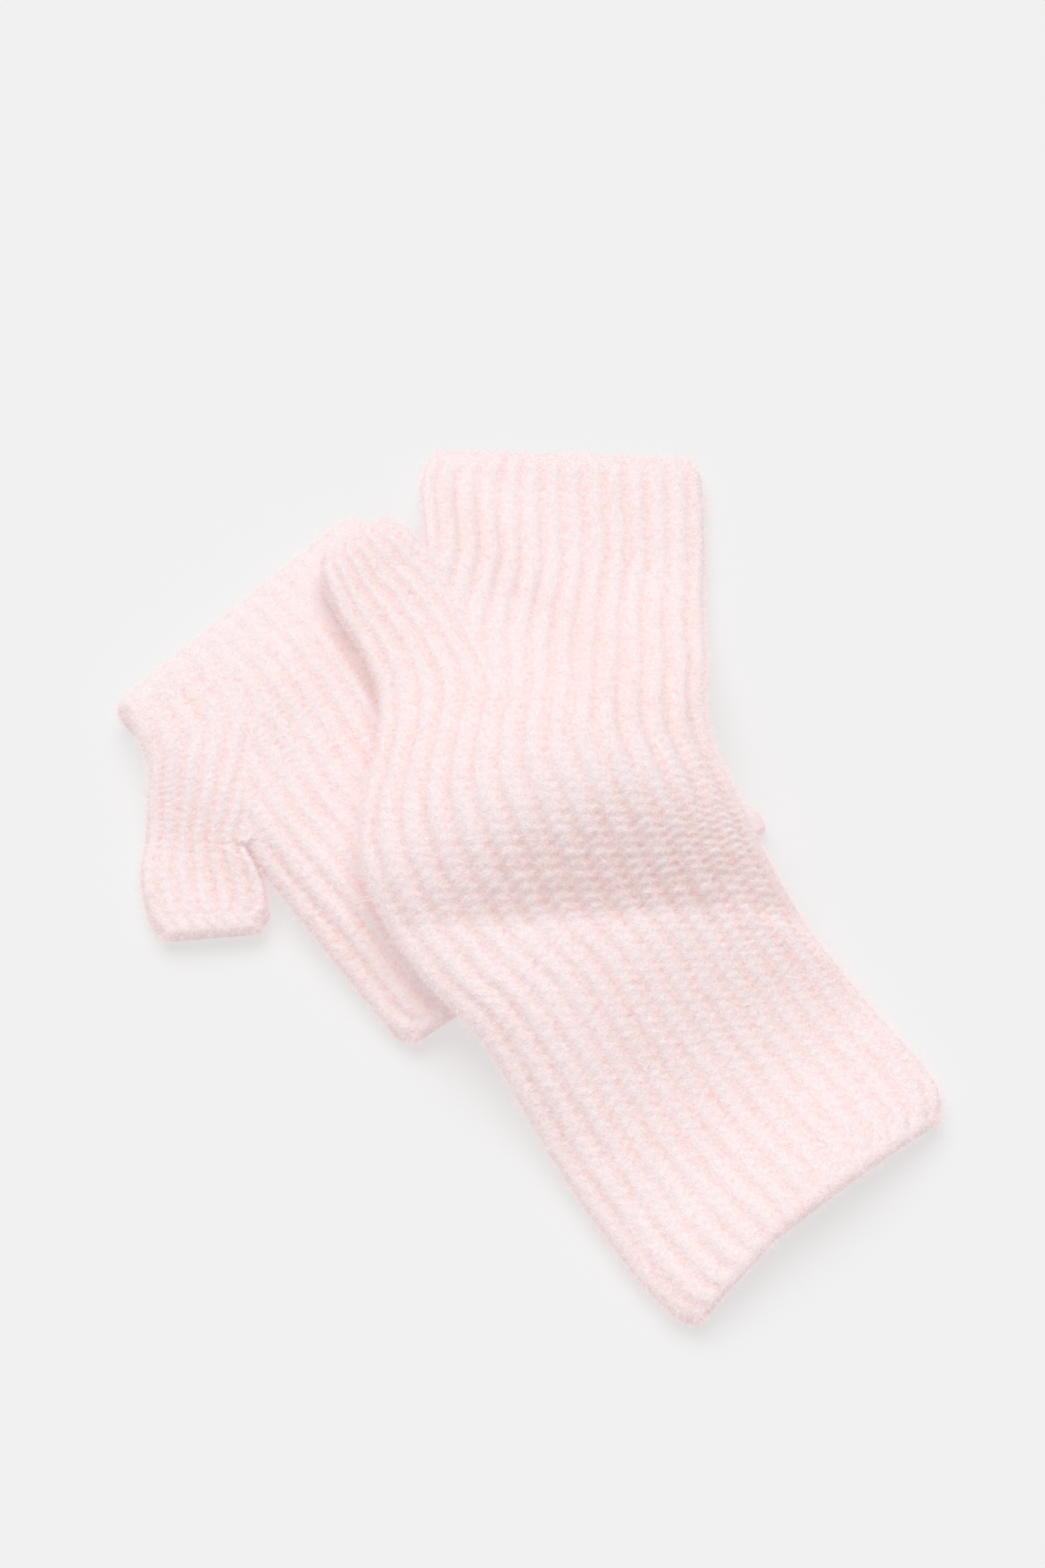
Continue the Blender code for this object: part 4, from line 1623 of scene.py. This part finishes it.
@dataclass(frozen=True)
class Studio:
    """White sweep, one large soft light from behind on the left, and light from all round."""

    elevation: float = 60.0
    distance: float = 1.27
    lens: float = 100.0
    sensor: float = 36.0
    sight: float = 20.0
    floor_size: float = 8.0
    floor_drop: float = 0.0002
    sun_from: tuple = (-0.12, 0.4, 0.91)
    sun_strength: float = 1.58
    sun_width: float = 60.0
    world_strength: float = 0.52

    def camera(self) -> None:
        """Places the camera as in the photograph: a long lens that looks down from the front."""
        lens = bpy.data.cameras.new("camera")
        lens.lens = self.lens
        lens.sensor_width = self.sensor
        lens.clip_end = self.sight
        camera = add_object("camera", lens)
        up = math.radians(self.elevation)
        aim = Vector((PLACE[0] * MM, PLACE[1] * MM, 0))
        back = Vector((0, -math.cos(up), math.sin(up)))
        camera.location = aim + back * self.distance
        camera.rotation_euler = (-back).to_track_quat("-Z", "Y").to_euler()
        bpy.context.scene.camera = camera

    def lights(self) -> None:
        """Makes the soft light and the light from all round."""
        scene = bpy.context.scene
        scene.view_settings.view_transform = "Standard"
        light = bpy.data.lights.new("window", "SUN")
        light.energy = self.sun_strength
        light.angle = math.radians(self.sun_width)
        window = add_object("window", light)
        window.rotation_euler = (-Vector(self.sun_from)).to_track_quat("-Z", "Y").to_euler()
        world = bpy.data.worlds.new("studio")
        scene.world = world
        world.use_nodes = True
        background = world.node_tree.nodes["Background"]
        background.inputs["Color"].default_value = (1, 1, 1, 1)
        background.inputs["Strength"].default_value = self.world_strength

    def floor(self) -> bpy.types.Object:
        """Makes the sweep that the pair lies on.

        Returns:
            The sweep.
        """
        mesh = bmesh.new()
        bmesh.ops.create_grid(mesh, x_segments=1, y_segments=1, size=self.floor_size / 2)
        bmesh.ops.translate(mesh, verts=mesh.verts, vec=(0, 0, -self.floor_drop))
        data = bpy.data.meshes.new("floor")
        mesh.to_mesh(data)
        mesh.free()
        data.materials.append(Tabletop().build())
        return add_object("floor", data)


@dataclass(frozen=True)
class Cut:
    """The flat cut of a piece before it was joined into a tube, in metres, all round."""

    width: float
    length: float
    area: float


UPPER = MittenPlan(
    "upper", UPPER_TRUNK, UPPER_GUSSET_START, UPPER_HAND, UPPER_THUMB, HumpedGround(), Shown()
)
LOWER = MittenPlan(
    "lower", LOWER_TRUNK, LOWER_GUSSET_START, LOWER_HAND, LOWER_THUMB, Ground(), ShownBelow(), LOWER_SLEEVE
)
# Fibres on a square millimetre, for each nap of a piece: the upper body's nap is three thinner ones
NAP_DENSITY = {
    "upper_body": (0.75, 0.75, 0.75),
    "upper_thumb": (2.2,),
    "lower_body": (2.2,),
    "lower_thumb": (2.2,),
}
SEED_STEP = 11


class Dresser:
    """Gives the pieces of the pair their yarn and nap, and hands each to the frame."""

    def __init__(self) -> None:
        """Makes the finishes and the fibres."""
        self.yarn = BrushedYarn().build()
        self.nap = Nap()
        self.fibres = bpy.data.collections.new("fibres")
        self.shapes = [
            shape.build(f"fibre_{number}", self.fibres) for number, shape in enumerate(self.nap.shapes)
        ]
        self.tree = self.nap.tree(NapFibre().build(), self.fibres)

    def dress(self, piece: bpy.types.Object, node: str) -> None:
        """Args:
            piece: the knitted piece.
            node: the CAD node that it stands for.
        """
        piece.data.materials.append(self.yarn)
        for number, density in enumerate(NAP_DENSITY[node]):
            seed = SEED_STEP * (number + 1)
            nap = self.nap.grow(piece, f"{node}_nap_{number + 1}", self.tree, density, seed)
            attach(nap, "root")
            log.info("%s: %d triangles", nap.name, triangles(nap))
        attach(piece, "root")
        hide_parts(node)
        log.info("%s: %d triangles", piece.name, triangles(piece))

    def clear(self) -> None:
        """Removes what only served to make the nap."""
        for shape in self.shapes:
            bpy.data.objects.remove(shape)
        bpy.data.collections.remove(self.fibres)


def triangles(piece: bpy.types.Object) -> int:
    """How many triangles a piece has."""
    return sum(len(face.vertices) - 2 for face in piece.data.polygons)


def main() -> None:
    """Builds the pair, the sweep, the lights and the camera."""
    logging.basicConfig(level=logging.INFO, format="%(name)s: %(message)s")
    for thing in list(bpy.data.objects):
        bpy.data.objects.remove(thing)
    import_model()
    dresser = Dresser()
    lower_body, lower_thumb = Mitten(LOWER).build()
    dresser.dress(lower_body, "lower_body")
    dresser.dress(lower_thumb, "lower_thumb")
    upper_body, upper_thumb = Mitten(UPPER).build()
    dresser.dress(upper_body, "upper_body")
    dresser.dress(upper_thumb, "upper_thumb")
    dresser.clear()
    studio = Studio()
    studio.floor()
    studio.lights()
    studio.camera()


if __name__ == "__main__":
    main()
